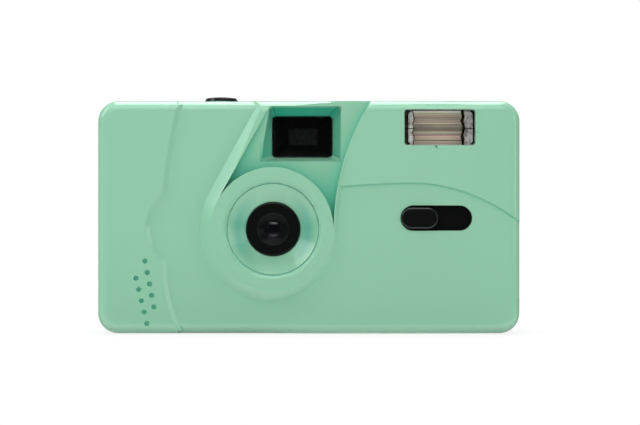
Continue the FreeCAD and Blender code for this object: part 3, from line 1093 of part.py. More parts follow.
# The rewind knob turns a fork in the cartridge from the base, by a crank that folds into it.
KNOB_TOP = "(knob_face_z + knob_thick)"
rewind_disc = turned("Z", [
    ("0", "knob_face_z"), ("knob_round - 0.4", "knob_face_z"), ("knob_round", "knob_face_z + 0.4"), ("knob_round", KNOB_TOP),
    ("sleeve_round", KNOB_TOP), ("sleeve_round", "sleeve_top"), ("sleeve_inner", "sleeve_top"), ("sleeve_inner", KNOB_TOP), ("0", KNOB_TOP),
], ("chamber_x", "chamber_y"), "rewind_disc")
knob_notch = pocket(rewind_disc, "XY", [
    ("knob_round - 0.3", "-0.25"), ("knob_round + 0.5", "-0.5"), ("knob_round + 0.5", "0.5"), ("knob_round - 0.3", "0.25"),
], "0", KNOB_TOP)
repeated(rewind_disc, knob_notch, "30")
CRANK_Z = "(knob_face_z + crank_pin + 0.35)"
crank_room = join(
    block(("chamber_x + crank_pin_x - 1.6", "chamber_x + knob_round + 1"),
          ("chamber_y - crank_wide / 2 - crank_gap", "chamber_y + crank_wide / 2 + crank_gap"),
          ("0", "knob_face_z + crank_thick + crank_gap")),
    rod("Y", "crank_pin + 0.35 + crank_gap", ("chamber_x + crank_pin_x", CRANK_Z),
        ("chamber_y - crank_wide / 2 - crank_gap", "chamber_y + crank_wide / 2 + crank_gap")),
)
peg_room = rod("Z", "crank_peg + crank_gap", ("chamber_x + crank_reach", "chamber_y"), ("0", "knob_face_z + crank_thick + peg_high"))
piece("rewind_knob", cut(rewind_disc, crank_room, peg_room,
                         rod("Y", "crank_pin", (f"chamber_x + crank_pin_x", CRANK_Z), ("chamber_y - 3.4", "chamber_y + 3.4")), name="rewind_body"))
piece("crank_pin", rod("Y", "crank_pin", ("chamber_x + crank_pin_x", CRANK_Z), ("chamber_y - 3.4", "chamber_y + 3.4"), "crank_axle"))
piece("rewind_crank", cut(
    join(
        block(("chamber_x + crank_pin_x", "chamber_x + crank_reach"), ("chamber_y - crank_wide / 2", "chamber_y + crank_wide / 2"),
              ("knob_face_z", "knob_face_z + crank_thick")),
        rod("Z", "crank_wide / 2", ("chamber_x + crank_reach", "chamber_y"), ("knob_face_z", "knob_face_z + crank_thick")),
        rod("Y", "crank_pin + 0.35", ("chamber_x + crank_pin_x", CRANK_Z), ("chamber_y - crank_wide / 2", "chamber_y + crank_wide / 2")),
        rod("Z", "crank_peg", ("chamber_x + crank_reach", "chamber_y"), ("knob_face_z + 0.3", "knob_face_z + crank_thick + peg_high - 0.5")),
    ),
    rod("Y", "crank_pin + 0.05", ("chamber_x + crank_pin_x", CRANK_Z), ("chamber_y - 4", "chamber_y + 4")), name="crank",
))
piece("rewind_fork", join(
    rod("Z", "fork_round", ("chamber_x", "chamber_y"), (KNOB_TOP, f"{KNOB_TOP} + fork_high")),
    block(("chamber_x - fork_round - 0.9", "chamber_x + fork_round + 0.9"), ("chamber_y - 0.6", "chamber_y + 0.6"),
          (KNOB_TOP, f"{KNOB_TOP} + fork_high")), name="fork",
))
piece("rewind_release", turned("Z", [
    ("0", "-0"), ("release_round - 0.3", "0"), ("release_round", "0.3"), ("release_round", "wall + 0.2"),
    ("release_round + 0.9", "wall + 0.2"), ("release_round + 0.9", "wall + 0.9"), ("0.9", "wall + 0.9"), ("0.9", "wall + 1.6"), ("0", "wall + 1.6"),
], ("release_x", "release_y"), "release_button"))

# The battery stands in its tube over a hinged door in the base, between two sprung contacts.
piece("battery", turned("Z", [
    ("0", "cell_low"), ("cell_round - 0.4", "cell_low"), ("cell_round", "cell_low + 0.4"), ("cell_round", "cell_high - cell_nub_high - 0.4"),
    ("cell_round - 0.4", "cell_high - cell_nub_high"), ("cell_nub", "cell_high - cell_nub_high"), ("cell_nub", "cell_high"), ("0", "cell_high"),
], ("battery_x", "battery_y"), "cell"))
piece("battery_door", join(
    block(("battery_x - battery_door_half", "battery_x + battery_door_half - 0.4"),
          ("battery_y - battery_door_half", "battery_y + battery_door_half"), ("0", "battery_door_thick")),
    rod("Y", "battery_pin", (BATTERY_HINGE_X, "battery_hinge_z"),
        ("battery_y - battery_door_half - 0.9", "battery_y + battery_door_half + 0.9")), name="battery_lid",
))
piece("battery_spring", spring_sleeve("battery_spring_round", "spring_wire", ("battery_x", "battery_y"),
                                      ("battery_door_thick + contact_thick", "cell_low"), "battery_coil"))
piece("spring_contact", block(("battery_x - 4", "battery_x + 4"), ("battery_y - 3.6", "battery_y + 3.6"),
                              ("battery_door_thick", "battery_door_thick + contact_thick"), "door_contact"))
piece("battery_contact", block(("battery_x - 3.6", "battery_x + 3.6"), ("battery_y - 3.6", "battery_y + 3.6"),
                               ("cell_high", "battery_high - floor_thick"), "top_contact"))

# The door latch slides in the right wall; the pressure plate floats on a leaf spring in the door.
LATCH_OUT = f"{HALF} - wall"
thumb = block((f"{LATCH_OUT} - 0.1", f"{HALF} - 0.1"), ("latch_y - latch_half", "latch_y + latch_half"),
              ("thumb_low", "thumb_high"))
thumb_cuts = [
    rod("Y", "0.45", (f"{HALF} - 0.1", f"thumb_low + 1.6 + {i} * 1.7"), ("latch_y - 3", "latch_y + 3")) for i in range(5)
]
piece("door_latch", join(
    cut(thumb, *thumb_cuts),
    block((f"{LATCH_OUT} - 0.1 - latch_thick", f"{LATCH_OUT} - 0.1"), ("latch_y - latch_half - 0.9", "latch_y + latch_half + 0.4"),
          ("latch_plate_low", "latch_plate_high")), name="latch",
))
piece("latch_spring", spring_sleeve("0.55", "0.24", (f"{LATCH_OUT} - 0.8", "latch_y"),
                                    ("latch_plate_low - 4.6", "latch_plate_low"), "latch_coil"))
piece("pressure_plate", block(("pressure_left", "pressure_right"), ("plate_face", "plate_face + pressure_thick"),
                              ("pressure_low", "pressure_high"), "pressure"))
piece("pressure_spring", join(
    block(("(pressure_left + pressure_right) / 2 - 3", "(pressure_left + pressure_right) / 2 + 3"),
          ("back_face - wall - leaf_thick", "back_face - wall"), ("pressure_low + 8", "pressure_high - 8")),
    block(("(pressure_left + pressure_right) / 2 - 12", "(pressure_left + pressure_right) / 2 + 12"),
          ("plate_face + pressure_thick", "plate_face + pressure_thick + leaf_thick"), ("pressure_low + 12", "pressure_high - 12")),
    block(("(pressure_left + pressure_right) / 2 - 3", "(pressure_left + pressure_right) / 2 + 3"),
          ("plate_face + pressure_thick", "back_face - wall"), ("pressure_low + 12", "pressure_low + 12.3")), name="leaf_spring",
))

# Screws: four hold the shell halves together, two hold the chassis to the front cover's posts.
def screw(axis, centre, seat, inward, long):
    """A pan head seated at a level, with its core driven inward."""
    sign = "+" if inward > 0 else "-"
    head = (f"{seat} - 0.8", seat) if inward > 0 else (seat, f"{seat} + 0.8")
    shank = (seat, f"{seat} + {long}") if inward > 0 else (f"{seat} - ({long})", seat)
    slot = (f"{seat} - 0.8", f"{seat} - 0.35") if inward > 0 else (f"{seat} + 0.35", f"{seat} + 0.8")
    across = rod(axis, "0.7", centre, slot)
    return join(cut(rod(axis, "screw_head", centre, head), across), rod(axis, "screw_core - 0.02", centre, shank))


piece("case_screws", join(
    *[screw("Z", (x, "base_screw_y"), "0.8", 1, "wall + lug_reach - 1.6") for x in ("base_screw_left", "base_screw_right")],
    screw("X", ("side_screw_y", "side_screw_left_z"), f"0.8 - {HALF}", 1, "wall + lug_thick - 1.6"),
    screw("X", ("side_screw_y", "side_screw_right_z"), f"{HALF} - 0.8", -1, "wall + lug_thick - 1.6"), name="shell_screws",
))
piece("chassis_screws", join(*[
    screw("Y", (x, "post_z"), "gate_face - 1.4", -1, "14") for x in ("post_left", "post_right")
], name="gate_screws"))

DOC.recompute()
for item in DOC.Objects:
    if "Invalid" in item.State or "Error" in item.State:
        raise RuntimeError(f"{item.Label} is not built: {item.State}")
os.makedirs("parts", exist_ok=True)
for item in PIECES:
    if item.Shape.isNull() or not item.Shape.isValid():
        raise RuntimeError(f"{item.Label} has no sound shape")
    item.Shape.exportStep(f"parts/{item.Label}.step")
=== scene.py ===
from math import cos, pi, radians, sin

import bmesh
import bpy
from mathutils import Matrix, Vector


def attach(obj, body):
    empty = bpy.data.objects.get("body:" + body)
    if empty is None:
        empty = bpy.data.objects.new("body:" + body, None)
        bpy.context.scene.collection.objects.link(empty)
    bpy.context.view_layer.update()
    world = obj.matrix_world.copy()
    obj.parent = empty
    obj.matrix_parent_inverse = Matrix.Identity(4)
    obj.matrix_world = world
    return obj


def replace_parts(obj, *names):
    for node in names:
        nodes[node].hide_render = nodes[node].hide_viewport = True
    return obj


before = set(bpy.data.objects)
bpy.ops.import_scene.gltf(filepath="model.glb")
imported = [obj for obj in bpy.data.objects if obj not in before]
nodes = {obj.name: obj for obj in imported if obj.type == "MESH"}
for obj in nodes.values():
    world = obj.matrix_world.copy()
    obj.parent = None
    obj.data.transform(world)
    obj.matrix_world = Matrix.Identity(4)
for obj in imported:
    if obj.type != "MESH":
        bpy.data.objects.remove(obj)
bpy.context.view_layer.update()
scene = bpy.context.scene
scene.view_settings.view_transform = "Standard"

# The stand: a long lens straight in front of the camera, level with the middle of its front.
# One pixel of a frame 640 pixels wide is 0.27 mm at the plane of the front cover.
view_centre = Vector((0.00302, -0.0155, 0.03270))
frame_width = 640 * 0.0002692
view_lens = bpy.data.cameras.new("view_lens")
view_lens.sensor_width = 36
view_lens.lens = 120
view_lens.clip_start = 0.05
view_point = bpy.data.objects.new("view_point", view_lens)
scene.collection.objects.link(view_point)
view_distance = frame_width * view_lens.lens / view_lens.sensor_width
view_point.location = view_centre - Vector((0, view_distance, 0))
view_point.rotation_euler = (pi / 2, 0, 0)
scene.camera = view_point

# The table: a matt white top, a hair under the base so that the two faces never coincide.
# It glows white round the object, fades where the shadow falls, and is clear from below.
# Polished parts mirror it dark, but for a bright strip along the front that lights the lower edge.
table_half, table_drop = 3.0, 0.0002
bounce_grey = (0.72, 0.72, 0.72, 1)
shadow_reach, open_reach, shadow_glow = 0.05, 0.22, 0.86
strip_far, strip_near, strip_end, strip_gone = -0.06, -0.02, -0.016, -0.010
strip_dark, strip_bright, strip_behind = 0.03, 2.2, 0.08


def feed(tree, socket, value):
    """Links a socket to the one given, or sets it to a plain value."""
    if isinstance(value, bpy.types.NodeSocket):
        tree.links.new(value, socket)
    else:
        socket.default_value = value


def dress(tree, node, **values):
    """Feeds a node's inputs by name, with a low line for each space."""
    for key, value in values.items():
        feed(tree, node.inputs[key.replace("_", " ")], value)
    return node


def joined(tree, kind, **values):
    """A new node, with its inputs fed."""
    return dress(tree, tree.nodes.new(kind), **values)


def shader(name):
    """A new node material, its node tree, its surface shader and the Object coordinates."""
    material = bpy.data.materials.new(name)
    material.use_nodes = True
    tree = material.node_tree
    surface = tree.nodes["Principled BSDF"]
    place = tree.nodes.new("ShaderNodeTexCoord").outputs["Object"]
    return material, tree, surface, place


def ranged(tree, value, from_min=0.0, from_max=1.0, to_min=0.0, to_max=1.0):
    """A value carried from one range to another."""
    return joined(tree, "ShaderNodeMapRange", Value=value, From_Min=from_min, From_Max=from_max,
                  To_Min=to_min, To_Max=to_max).outputs[0]


def reckoned(tree, operation, *values):
    """The result of one sum on numbers."""
    node = tree.nodes.new("ShaderNodeMath")
    node.operation = operation
    for socket, value in zip(node.inputs, values):
        feed(tree, socket, value)
    return node.outputs[0]


def product(tree, first, *others):
    """All the given numbers multiplied."""
    for other in others:
        first = reckoned(tree, "MULTIPLY", first, other)
    return first


def vector_node(tree, operation, *values):
    """A sum on vectors: output 0 is its vector, output 1 its number."""
    node = tree.nodes.new("ShaderNodeVectorMath")
    node.operation = operation
    for socket, value in zip(node.inputs, values):
        feed(tree, socket, value)
    return node


def blended(tree, share, start, end, mode="MIX"):
    """A colour between two others, by a share from 0 to 1."""
    node = tree.nodes.new("ShaderNodeMix")
    node.data_type = "RGBA"
    node.blend_type = mode
    for index, value in ((0, share), (6, start), (7, end)):
        feed(tree, node.inputs[index], value)
    return node.outputs[2]


def greyed(tree, value):
    """A grey of the given lightness."""
    return joined(tree, "ShaderNodeCombineColor", Red=value, Green=value, Blue=value).outputs[0]


def turned_into(tree, share, start, end):
    """One shader that gives way to another, by a share from 0 to 1."""
    node = tree.nodes.new("ShaderNodeMixShader")
    for socket, value in zip(node.inputs, (share, start, end)):
        feed(tree, socket, value)
    return node.outputs[0]


def staged(name, mesh, material):
    """Puts a mesh in the scene as part of the set, not of the object."""
    data = bpy.data.meshes.new(name)
    mesh.to_mesh(data)
    mesh.free()
    data.materials.append(material)
    thing = bpy.data.objects.new(name, data)
    scene.collection.objects.link(thing)
    return thing


table_paint, tree, surface, place = shader("table_paint")
rays = tree.nodes.new("ShaderNodeLightPath").outputs
mottle = joined(tree, "ShaderNodeTexNoise", Vector=place, Scale=6.0, Detail=3.0)
table_white = greyed(tree, ranged(tree, mottle.outputs["Fac"], to_min=0.8, to_max=0.84))
dress(tree, surface, Roughness=0.9, Specular_IOR_Level=0.1,
      Base_Color=blended(tree, rays["Is Camera Ray"], bounce_grey, table_white))
from_middle = vector_node(tree, "LENGTH", place).outputs[1]
glow_share = product(tree, rays["Is Camera Ray"],
                     ranged(tree, from_middle, shadow_reach, open_reach, shadow_glow, 1.0))
glow = joined(tree, "ShaderNodeEmission", Color=(1, 1, 1, 1), Strength=1.0).outputs[0]
seen_top = turned_into(tree, glow_share, surface.outputs[0], glow)
table_y = joined(tree, "ShaderNodeSeparateXYZ", Vector=place).outputs["Y"]
strip_light = product(tree, ranged(tree, table_y, strip_far, strip_near, strip_dark, strip_bright),
                      ranged(tree, table_y, strip_end, strip_gone, 1.0, strip_behind))
mirrored_top = joined(tree, "ShaderNodeEmission", Color=(1, 1, 1, 1), Strength=strip_light).outputs[0]
mirroring = reckoned(tree, "MAXIMUM", rays["Is Glossy Ray"], rays["Is Transmission Ray"])
upper_side = turned_into(tree, mirroring, seen_top, mirrored_top)
lower_side = tree.nodes.new("ShaderNodeBsdfTransparent").outputs[0]
backfacing = tree.nodes.new("ShaderNodeNewGeometry").outputs["Backfacing"]
both_sides = turned_into(tree, backfacing, upper_side, lower_side)
feed(tree, tree.nodes["Material Output"].inputs["Surface"], both_sides)
table_mesh = bmesh.new()
bmesh.ops.create_grid(table_mesh, x_segments=1, y_segments=1, size=table_half)
bmesh.ops.translate(table_mesh, verts=table_mesh.verts, vec=(0, 0, -table_drop))
staged("table", table_mesh, table_paint)

# The room: a dark felt card behind the viewer, which only reflections see, and even white air.
# The air is white to the eye and much dimmer, with a cool cast, for all that it lights.
card_half, card_place = 0.9, (0, -1.3, 0.1)
card_felt, tree, surface, place = shader("card_felt")
dress(tree, surface, Base_Color=(0.012, 0.012, 0.012, 1), Roughness=1.0)
card_mesh = bmesh.new()
bmesh.ops.create_grid(card_mesh, x_segments=1, y_segments=1, size=card_half)
bmesh.ops.rotate(card_mesh, verts=card_mesh.verts, matrix=Matrix.Rotation(pi / 2, 3, "X"))
bmesh.ops.translate(card_mesh, verts=card_mesh.verts, vec=card_place)
dark_card = staged("dark_card", card_mesh, card_felt)
dark_card.visible_camera = False
dark_card.visible_diffuse = False
dark_card.visible_shadow = False
room = bpy.data.worlds.new("room")
scene.world = room
room.use_nodes = True
tree = room.node_tree
rays = tree.nodes.new("ShaderNodeLightPath").outputs
lighting = ranged(tree, rays["Is Diffuse Ray"], to_min=0.22, to_max=0.28)
dress(tree, tree.nodes["Background"],
      Strength=ranged(tree, rays["Is Camera Ray"], to_min=lighting, to_max=1.0),
      Color=blended(tree, rays["Is Camera Ray"], (0.9, 1.0, 1.0, 1), (1, 1, 1, 1)))

# The lamps: soft boxes overhead, in front, and at both sides, all turned to the object.
# A low one fills the hollows from the front, and no polished part or pane shows it.
lit_point = Vector((0, 0, 0.03))


def softbox(name, spot, width, height, watts):
    """A large soft lamp that faces the middle of the object."""
    lamp = bpy.data.lights.new(name, "AREA")
    lamp.shape = "RECTANGLE"
    lamp.size, lamp.size_y, lamp.energy = width, height, watts
    stand = bpy.data.objects.new(name, lamp)
    scene.collection.objects.link(stand)
    stand.location = spot
    stand.rotation_euler = (lit_point - Vector(spot)).to_track_quat("-Z", "Y").to_euler()
    stand.visible_camera = False
    return stand


softbox("ceiling", (0.02, 0.24, 0.95), width=0.60, height=0.95, watts=10.9)
softbox("front_box", (-0.05, -0.76, 0.80), width=1.0, height=0.5, watts=3.6)
softbox("left_box", (-0.80, -0.14, 0.60), width=0.4, height=0.6, watts=3.2)
softbox("right_box", (0.95, -0.50, 0.15), width=0.4, height=0.6, watts=1.5)
fill_box = softbox("fill_box", (0.0, -1.25, 0.06), width=0.9, height=0.3, watts=3.1)
fill_box.visible_glossy = False
fill_box.visible_transmission = False

# The shells: front cover, rear cover, film door and battery door, moulded in glossy mint ABS.
# A polished tool leaves an even gloss with a fine orange peel and a faint drift of colour.
# Painted shade: hollows, the sides of the dish and the down-turned walls of the finder's mouth are painted a deeper
# teal, and the dish's groove gets a painted highlight.
mint, hollow_painted_shade = (0.268, 0.545, 0.372), (0.11, 0.60, 0.43, 1)
mouth_painted_shade, dish_painted_shade, groove_painted_highlight = (0.035, 0.36, 0.235, 1), (0.13, 0.43, 0.31, 1), (0.5, 0.95, 0.75, 1)
lens_axis = Vector((-0.00966, 0, 0.0282))
groove_radius, groove_half, groove_back = 0.01252, 0.00019, -0.0125
hollow_reach, hollow_range = 0.009, (0.2, 0.84)
mouth_front, mouth_shade, mouth_slope, mouth_share = -0.0144, -0.0137, (0.6, -0.5), (0.25, 1.0)
mouth_limits = (("X", -0.01325, 0.00875), ("Z", 0.0464, 0.0614), ("Y", -0.02, -0.0098))
dish_round, dish_hood, dish_flank = 0.0124, 0.0095, (0.004, 0.0095)
dish_front, dish_shade, dish_back = -0.0164, -0.0145, -0.007
seam_gap, hard_angle = 0.0000015, radians(24)


def skin_group():
    """Geometry nodes that join a node's loose triangles and mark its hard edges."""
    group = bpy.data.node_groups.new("even_skin", "GeometryNodeTree")
    for way in ("INPUT", "OUTPUT"):
        group.interface.new_socket("Geometry", in_out=way, socket_type="NodeSocketGeometry")
    merged = group.nodes.new("GeometryNodeMergeByDistance")
    merged.inputs["Distance"].default_value = seam_gap
    round_faces = group.nodes.new("GeometryNodeSetShadeSmooth")
    hard_edges = group.nodes.new("GeometryNodeSetShadeSmooth")
    hard_edges.domain = "EDGE"
    hard_edges.inputs["Shade Smooth"].default_value = False
    fold = group.nodes.new("GeometryNodeInputMeshEdgeAngle")
    steep = group.nodes.new("FunctionNodeCompare")
    steep.data_type = "FLOAT"
    steep.operation = "GREATER_THAN"
    steep.inputs["B"].default_value = hard_angle
    group.links.new(group.nodes.new("NodeGroupInput").outputs[0], merged.inputs["Geometry"])
    group.links.new(merged.outputs["Geometry"], round_faces.inputs["Geometry"])
    group.links.new(round_faces.outputs["Geometry"], hard_edges.inputs["Geometry"])
    group.links.new(fold.outputs["Unsigned Angle"], steep.inputs["A"])
    group.links.new(steep.outputs["Result"], hard_edges.inputs["Selection"])
    group.links.new(hard_edges.outputs["Geometry"], group.nodes.new("NodeGroupOutput").inputs[0])
    return group


even_skin = skin_group()


def finished(name, material):
    """Gives a CAD node its finish and even, smooth shading; its mesh stays as it is."""
    node = nodes[name]
    node.data.materials.clear()
    node.data.materials.append(material)
    node.modifiers.new("skin", "NODES").node_group = even_skin
    node.modifiers.new("weigh", "WEIGHTED_NORMAL").keep_sharp = True


def moulding(name, colour, drift, rough, spread, grain, peel, edge=0.0):
    """Moulded plastic: drift of colour, spread of gloss, orange peel, and edges that a tool rounds."""
    material, tree, surface, place = shader(name)
    broad = joined(tree, "ShaderNodeTexNoise", Vector=place, Scale=28.0, Detail=2.0).outputs["Fac"]
    fine = joined(tree, "ShaderNodeTexNoise", Vector=place, Scale=grain, Detail=4.0, Roughness=0.6).outputs["Fac"]
    deep = tuple(c * (1 - drift) for c in colour) + (1,)
    pale = tuple(min(1.0, c * (1 + drift)) for c in colour) + (1,)
    relief = joined(tree, "ShaderNodeBump", Height=fine, Strength=0.4, Distance=peel)
    if edge:
        lip = joined(tree, "ShaderNodeBevel", Radius=edge)
        lip.samples = 4
        dress(tree, relief, Normal=lip.outputs[0])
    dress(tree, surface, Base_Color=blended(tree, broad, deep, pale), Normal=relief.outputs[0],
          Roughness=ranged(tree, fine, 0.3, 0.7, rough - spread, rough + spread))
    return material


mint_abs = moulding("mint_abs", mint, drift=0.012, rough=0.2, spread=0.02, grain=420, peel=0.000006, edge=0.00035)
tree = mint_abs.node_tree
surface = tree.nodes["Principled BSDF"]
tone = surface.inputs["Base Color"].links[0].from_socket
place = tree.nodes.new("ShaderNodeTexCoord").outputs["Object"]
spot = joined(tree, "ShaderNodeSeparateXYZ", Vector=place).outputs
from_axis = vector_node(tree, "SUBTRACT", place, lens_axis).outputs[0]
face_on = vector_node(tree, "MULTIPLY", from_axis, (1, 0, 1)).outputs[0]
from_lens = vector_node(tree, "LENGTH", face_on).outputs[1]

# Painted shade: where ambient occlusion finds a hollow, the mint is painted towards a deeper teal.
hollow = joined(tree, "ShaderNodeAmbientOcclusion", Distance=hollow_reach)
hollow.samples = 6
hollow.only_local = True
tone = blended(tree, ranged(tree, hollow.outputs["AO"], *hollow_range), hollow_painted_shade, tone)

# Painted shade: the finder's mouth is painted dark teal from a little behind its front inwards, fully on down-turned
# walls and a quarter on up-turned ones.
in_mouth = ranged(tree, spot["Y"], mouth_front, mouth_shade)
for axis, low, high in mouth_limits:
    in_mouth = product(tree, in_mouth, reckoned(tree, "GREATER_THAN", spot[axis], low),
                       reckoned(tree, "LESS_THAN", spot[axis], high))
normal = tree.nodes.new("ShaderNodeNewGeometry").outputs["Normal"]
normal_z = joined(tree, "ShaderNodeSeparateXYZ", Vector=normal).outputs["Z"]
downward_painted_shade = ranged(tree, normal_z, *mouth_slope, *mouth_share)
tone = blended(tree, product(tree, in_mouth, downward_painted_shade), tone, mouth_painted_shade)

# Painted shade: the left and right sides of the dish round the hood are painted a darker teal.
sideways = reckoned(tree, "ABSOLUTE", joined(tree, "ShaderNodeSeparateXYZ", Vector=face_on).outputs["X"])
dish_side_shade = product(tree, ranged(tree, sideways, *dish_flank), ranged(tree, from_lens, dish_round, dish_hood),
                    ranged(tree, spot["Y"], dish_front, dish_shade), reckoned(tree, "LESS_THAN", spot["Y"], dish_back))
tone = blended(tree, dish_side_shade, tone, dish_painted_shade)

# Painted highlight: a thin ring at the dish's groove is painted a light mint.
groove_highlight_mask = product(tree, reckoned(tree, "COMPARE", from_lens, groove_radius, groove_half),
                    reckoned(tree, "LESS_THAN", spot["Y"], groove_back))
dress(tree, surface, Base_Color=blended(tree, groove_highlight_mask, tone, groove_painted_highlight))
for shell in ("front_cover", "rear_cover", "film_door", "battery_door"):
    finished(shell, mint_abs)

# The hood: a round moulding in black ABS, with fine steps inside its mouth that trap stray light.
# It comes through the floor of the front cover's dish, and a flange behind that floor holds it.
hood_outline = [
    (0.0026, -0.0109), (0.0026, -0.0112), (0.0029, -0.01125), (0.0029, -0.01155), (0.00325, -0.0116),
    (0.00325, -0.0119), (0.0036, -0.01195), (0.0036, -0.0122), (0.00395, -0.01228), (0.0041, -0.01255),
    (0.0043, -0.0127), (0.0046, -0.01268), (0.0069, -0.01262), (0.00712, -0.0125), (0.0072, -0.0123),
    (0.0072, -0.0109), (0.0093, -0.0109), (0.0093, -0.0099), (0.00366, -0.0099), (0.00366, -0.0109),
]


def kept(name, mesh, body, material, crease=30):
    """Puts a finished mesh in the scene as a piece that rides on a body."""
    data = bpy.data.meshes.new(name)
    mesh.to_mesh(data)
    mesh.free()
    data.shade_smooth()
    data.set_sharp_from_angle(angle=radians(crease))
    data.materials.append(material)
    piece = bpy.data.objects.new(name, data)
    scene.collection.objects.link(piece)
    piece.modifiers.new("weigh", "WEIGHTED_NORMAL").keep_sharp = True
    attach(piece, body)
    return piece


def lathe(name, outline, material, closed=True, crease=30):
    """A piece turned round the lens axis: the outline gives radius and place along the axis."""
    mesh = bmesh.new()
    ring = [mesh.verts.new((radius, level, 0)) for radius, level in outline]
    pairs = list(zip(ring, ring[1:])) + ([(ring[-1], ring[0])] if closed else [])
    edges = [mesh.edges.new(pair) for pair in pairs]
    bmesh.ops.spin(mesh, geom=ring + edges, cent=(0, 0, 0), axis=(0, 1, 0), angle=2 * pi, steps=96, use_merge=True)
    bmesh.ops.remove_doubles(mesh, verts=mesh.verts, dist=0.000001)
    bmesh.ops.translate(mesh, verts=mesh.verts, vec=lens_axis)
    bmesh.ops.recalc_face_normals(mesh, faces=mesh.faces)
    return kept(name, mesh, "camera", material, crease)


black_abs = moulding("black_abs", (0.0045, 0.0045, 0.005), drift=0.15, rough=0.19, spread=0.04,
                     grain=900, peel=0.000006, edge=0.0002)
lens_barrel = lathe("lens_barrel", hood_outline, black_abs)
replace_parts(lens_barrel, "lens_hood")

# The taking lens: a small moulded and coated acrylic lens, bulged in front and hollow behind.
# It lies in the hood's seat, and the retainer behind it holds its rim.
lens_front, lens_curve, lens_half_angle, lens_steps = -0.01113, 0.0049, 0.62, 16
bowl_radius, bowl_rim, bowl_depth, bowl_steps = 0.0034, -0.0098, 0.0003, 8
lens_rim = [(0.0029, -0.0102), (0.0036, -0.0102), (0.0036, -0.0097)]
coating = (0.80, 0.82, 0.9)


def lets_light_in(tree, surface, colour):
    """Lamps shine straight through the clear material, tinted by its colour."""
    open_way = joined(tree, "ShaderNodeBsdfTransparent", Color=colour + (1,))
    shadow_ray = tree.nodes.new("ShaderNodeLightPath").outputs["Is Shadow Ray"]
    either = turned_into(tree, shadow_ray, surface.outputs[0], open_way.outputs[0])
    feed(tree, tree.nodes["Material Output"].inputs["Surface"], either)


coated_glass, tree, surface, place = shader("coated_glass")
wipe = joined(tree, "ShaderNodeTexNoise", Vector=place, Scale=700.0, Detail=3.0)
dress(tree, surface, Base_Color=coating + (1,), Transmission_Weight=1.0, IOR=1.52, Specular_IOR_Level=0.012,
      Roughness=ranged(tree, wipe.outputs["Fac"], to_min=0.01, to_max=0.05))
lets_light_in(tree, surface, coating)
crown = []
for i in range(lens_steps + 1):
    angle = lens_half_angle * i / lens_steps
    crown.append((lens_curve * sin(angle), lens_front + lens_curve * (1 - cos(angle))))
bowl = []
for i in range(bowl_steps + 1):
    inward = 1 - i / bowl_steps
    bowl.append((bowl_radius * inward, bowl_rim - bowl_depth * (1 - inward ** 2)))
taking_glass = lathe("taking_glass", crown + lens_rim + bowl, coated_glass, closed=False, crease=40)
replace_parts(taking_glass, "taking_lens")

# Behind the lens: a black moulded ring between it and the shutter's plate keeps it in its seat.
# The plate and the blade of the shutter are punched from thin blackened sheet.
dark_abs = moulding("dark_abs", (0.009, 0.009, 0.0095), drift=0.15, rough=0.5, spread=0.08,
                    grain=1500, peel=0.00002)
black_sheet = moulding("black_sheet", (0.008, 0.008, 0.0085), drift=0.2, rough=0.42, spread=0.1,
                       grain=2200, peel=0.000006)
finished("lens_retainer", dark_abs)
finished("shutter_plate", black_sheet)
finished("shutter_blade", black_sheet)

# The finder's window: a clear acrylic pane with softened corners in the pocket of the front cover.
# A wider flange behind the cover's wall holds it in.
finder_limits, finder_levels = (-0.00995, 0.00635, 0.04765, 0.05875), (-0.0108, -0.0102)
finder_corner, finder_soft, finder_flange = 0.0008, 0.0003, 0.0006
flange_depth, flange_lift = 0.0006, 0.0000001
acrylic_ior = 1.49


def pane(name, limits, levels, corner, soft, flange, material):
    """A clear pane with round corners and a softened front edge, on a wider flange."""
    left, right, low, high = limits
    front, back = levels
    middle = Vector(((left + right) / 2, (front + back) / 2, (low + high) / 2))
    mesh = bmesh.new()
    bmesh.ops.create_cube(mesh, size=1.0)
    bmesh.ops.scale(mesh, verts=mesh.verts, vec=(right - left, back - front, high - low))
    bmesh.ops.translate(mesh, verts=mesh.verts, vec=middle)
    upright = [e for e in mesh.edges if abs(e.verts[0].co.y - e.verts[1].co.y) > 1e-6]
    bmesh.ops.bevel(mesh, geom=upright, offset=corner, offset_type="OFFSET", segments=6, profile=0.5,
                    affect="EDGES", material=-1)
    rim = [e for e in mesh.edges if all(abs(v.co.y - front) < 1e-7 for v in e.verts)]
    bmesh.ops.bevel(mesh, geom=rim, offset=soft, offset_type="OFFSET", segments=3, profile=0.5,
                    affect="EDGES", material=-1)
    rear = [f for f in mesh.faces if all(abs(v.co.y - back) < 1e-7 for v in f.verts)]
    grown = bmesh.ops.extrude_face_region(mesh, geom=rear)
    bmesh.ops.delete(mesh, geom=[f for f in rear if f.is_valid], context="FACES_ONLY")
    moved = [v for v in grown["geom"] if isinstance(v, bmesh.types.BMVert)]
    bmesh.ops.translate(mesh, verts=moved, vec=(0, flange_lift, 0))
    for v in moved:
        v.co.x += flange if v.co.x > middle.x else -flange
        v.co.z += flange if v.co.z > middle.z else -flange
    cap = [f for f in mesh.faces if all(v in moved for v in f.verts)]
    deep = bmesh.ops.extrude_face_region(mesh, geom=cap)
    sunk = [v for v in deep["geom"] if isinstance(v, bmesh.types.BMVert)]
    bmesh.ops.translate(mesh, verts=sunk, vec=(0, flange_depth, 0))
    bmesh.ops.delete(mesh, geom=cap, context="FACES_ONLY")
    bmesh.ops.remove_doubles(mesh, verts=mesh.verts, dist=0.0000002)
    bmesh.ops.recalc_face_normals(mesh, faces=mesh.faces)
    return kept(name, mesh, "camera", material)


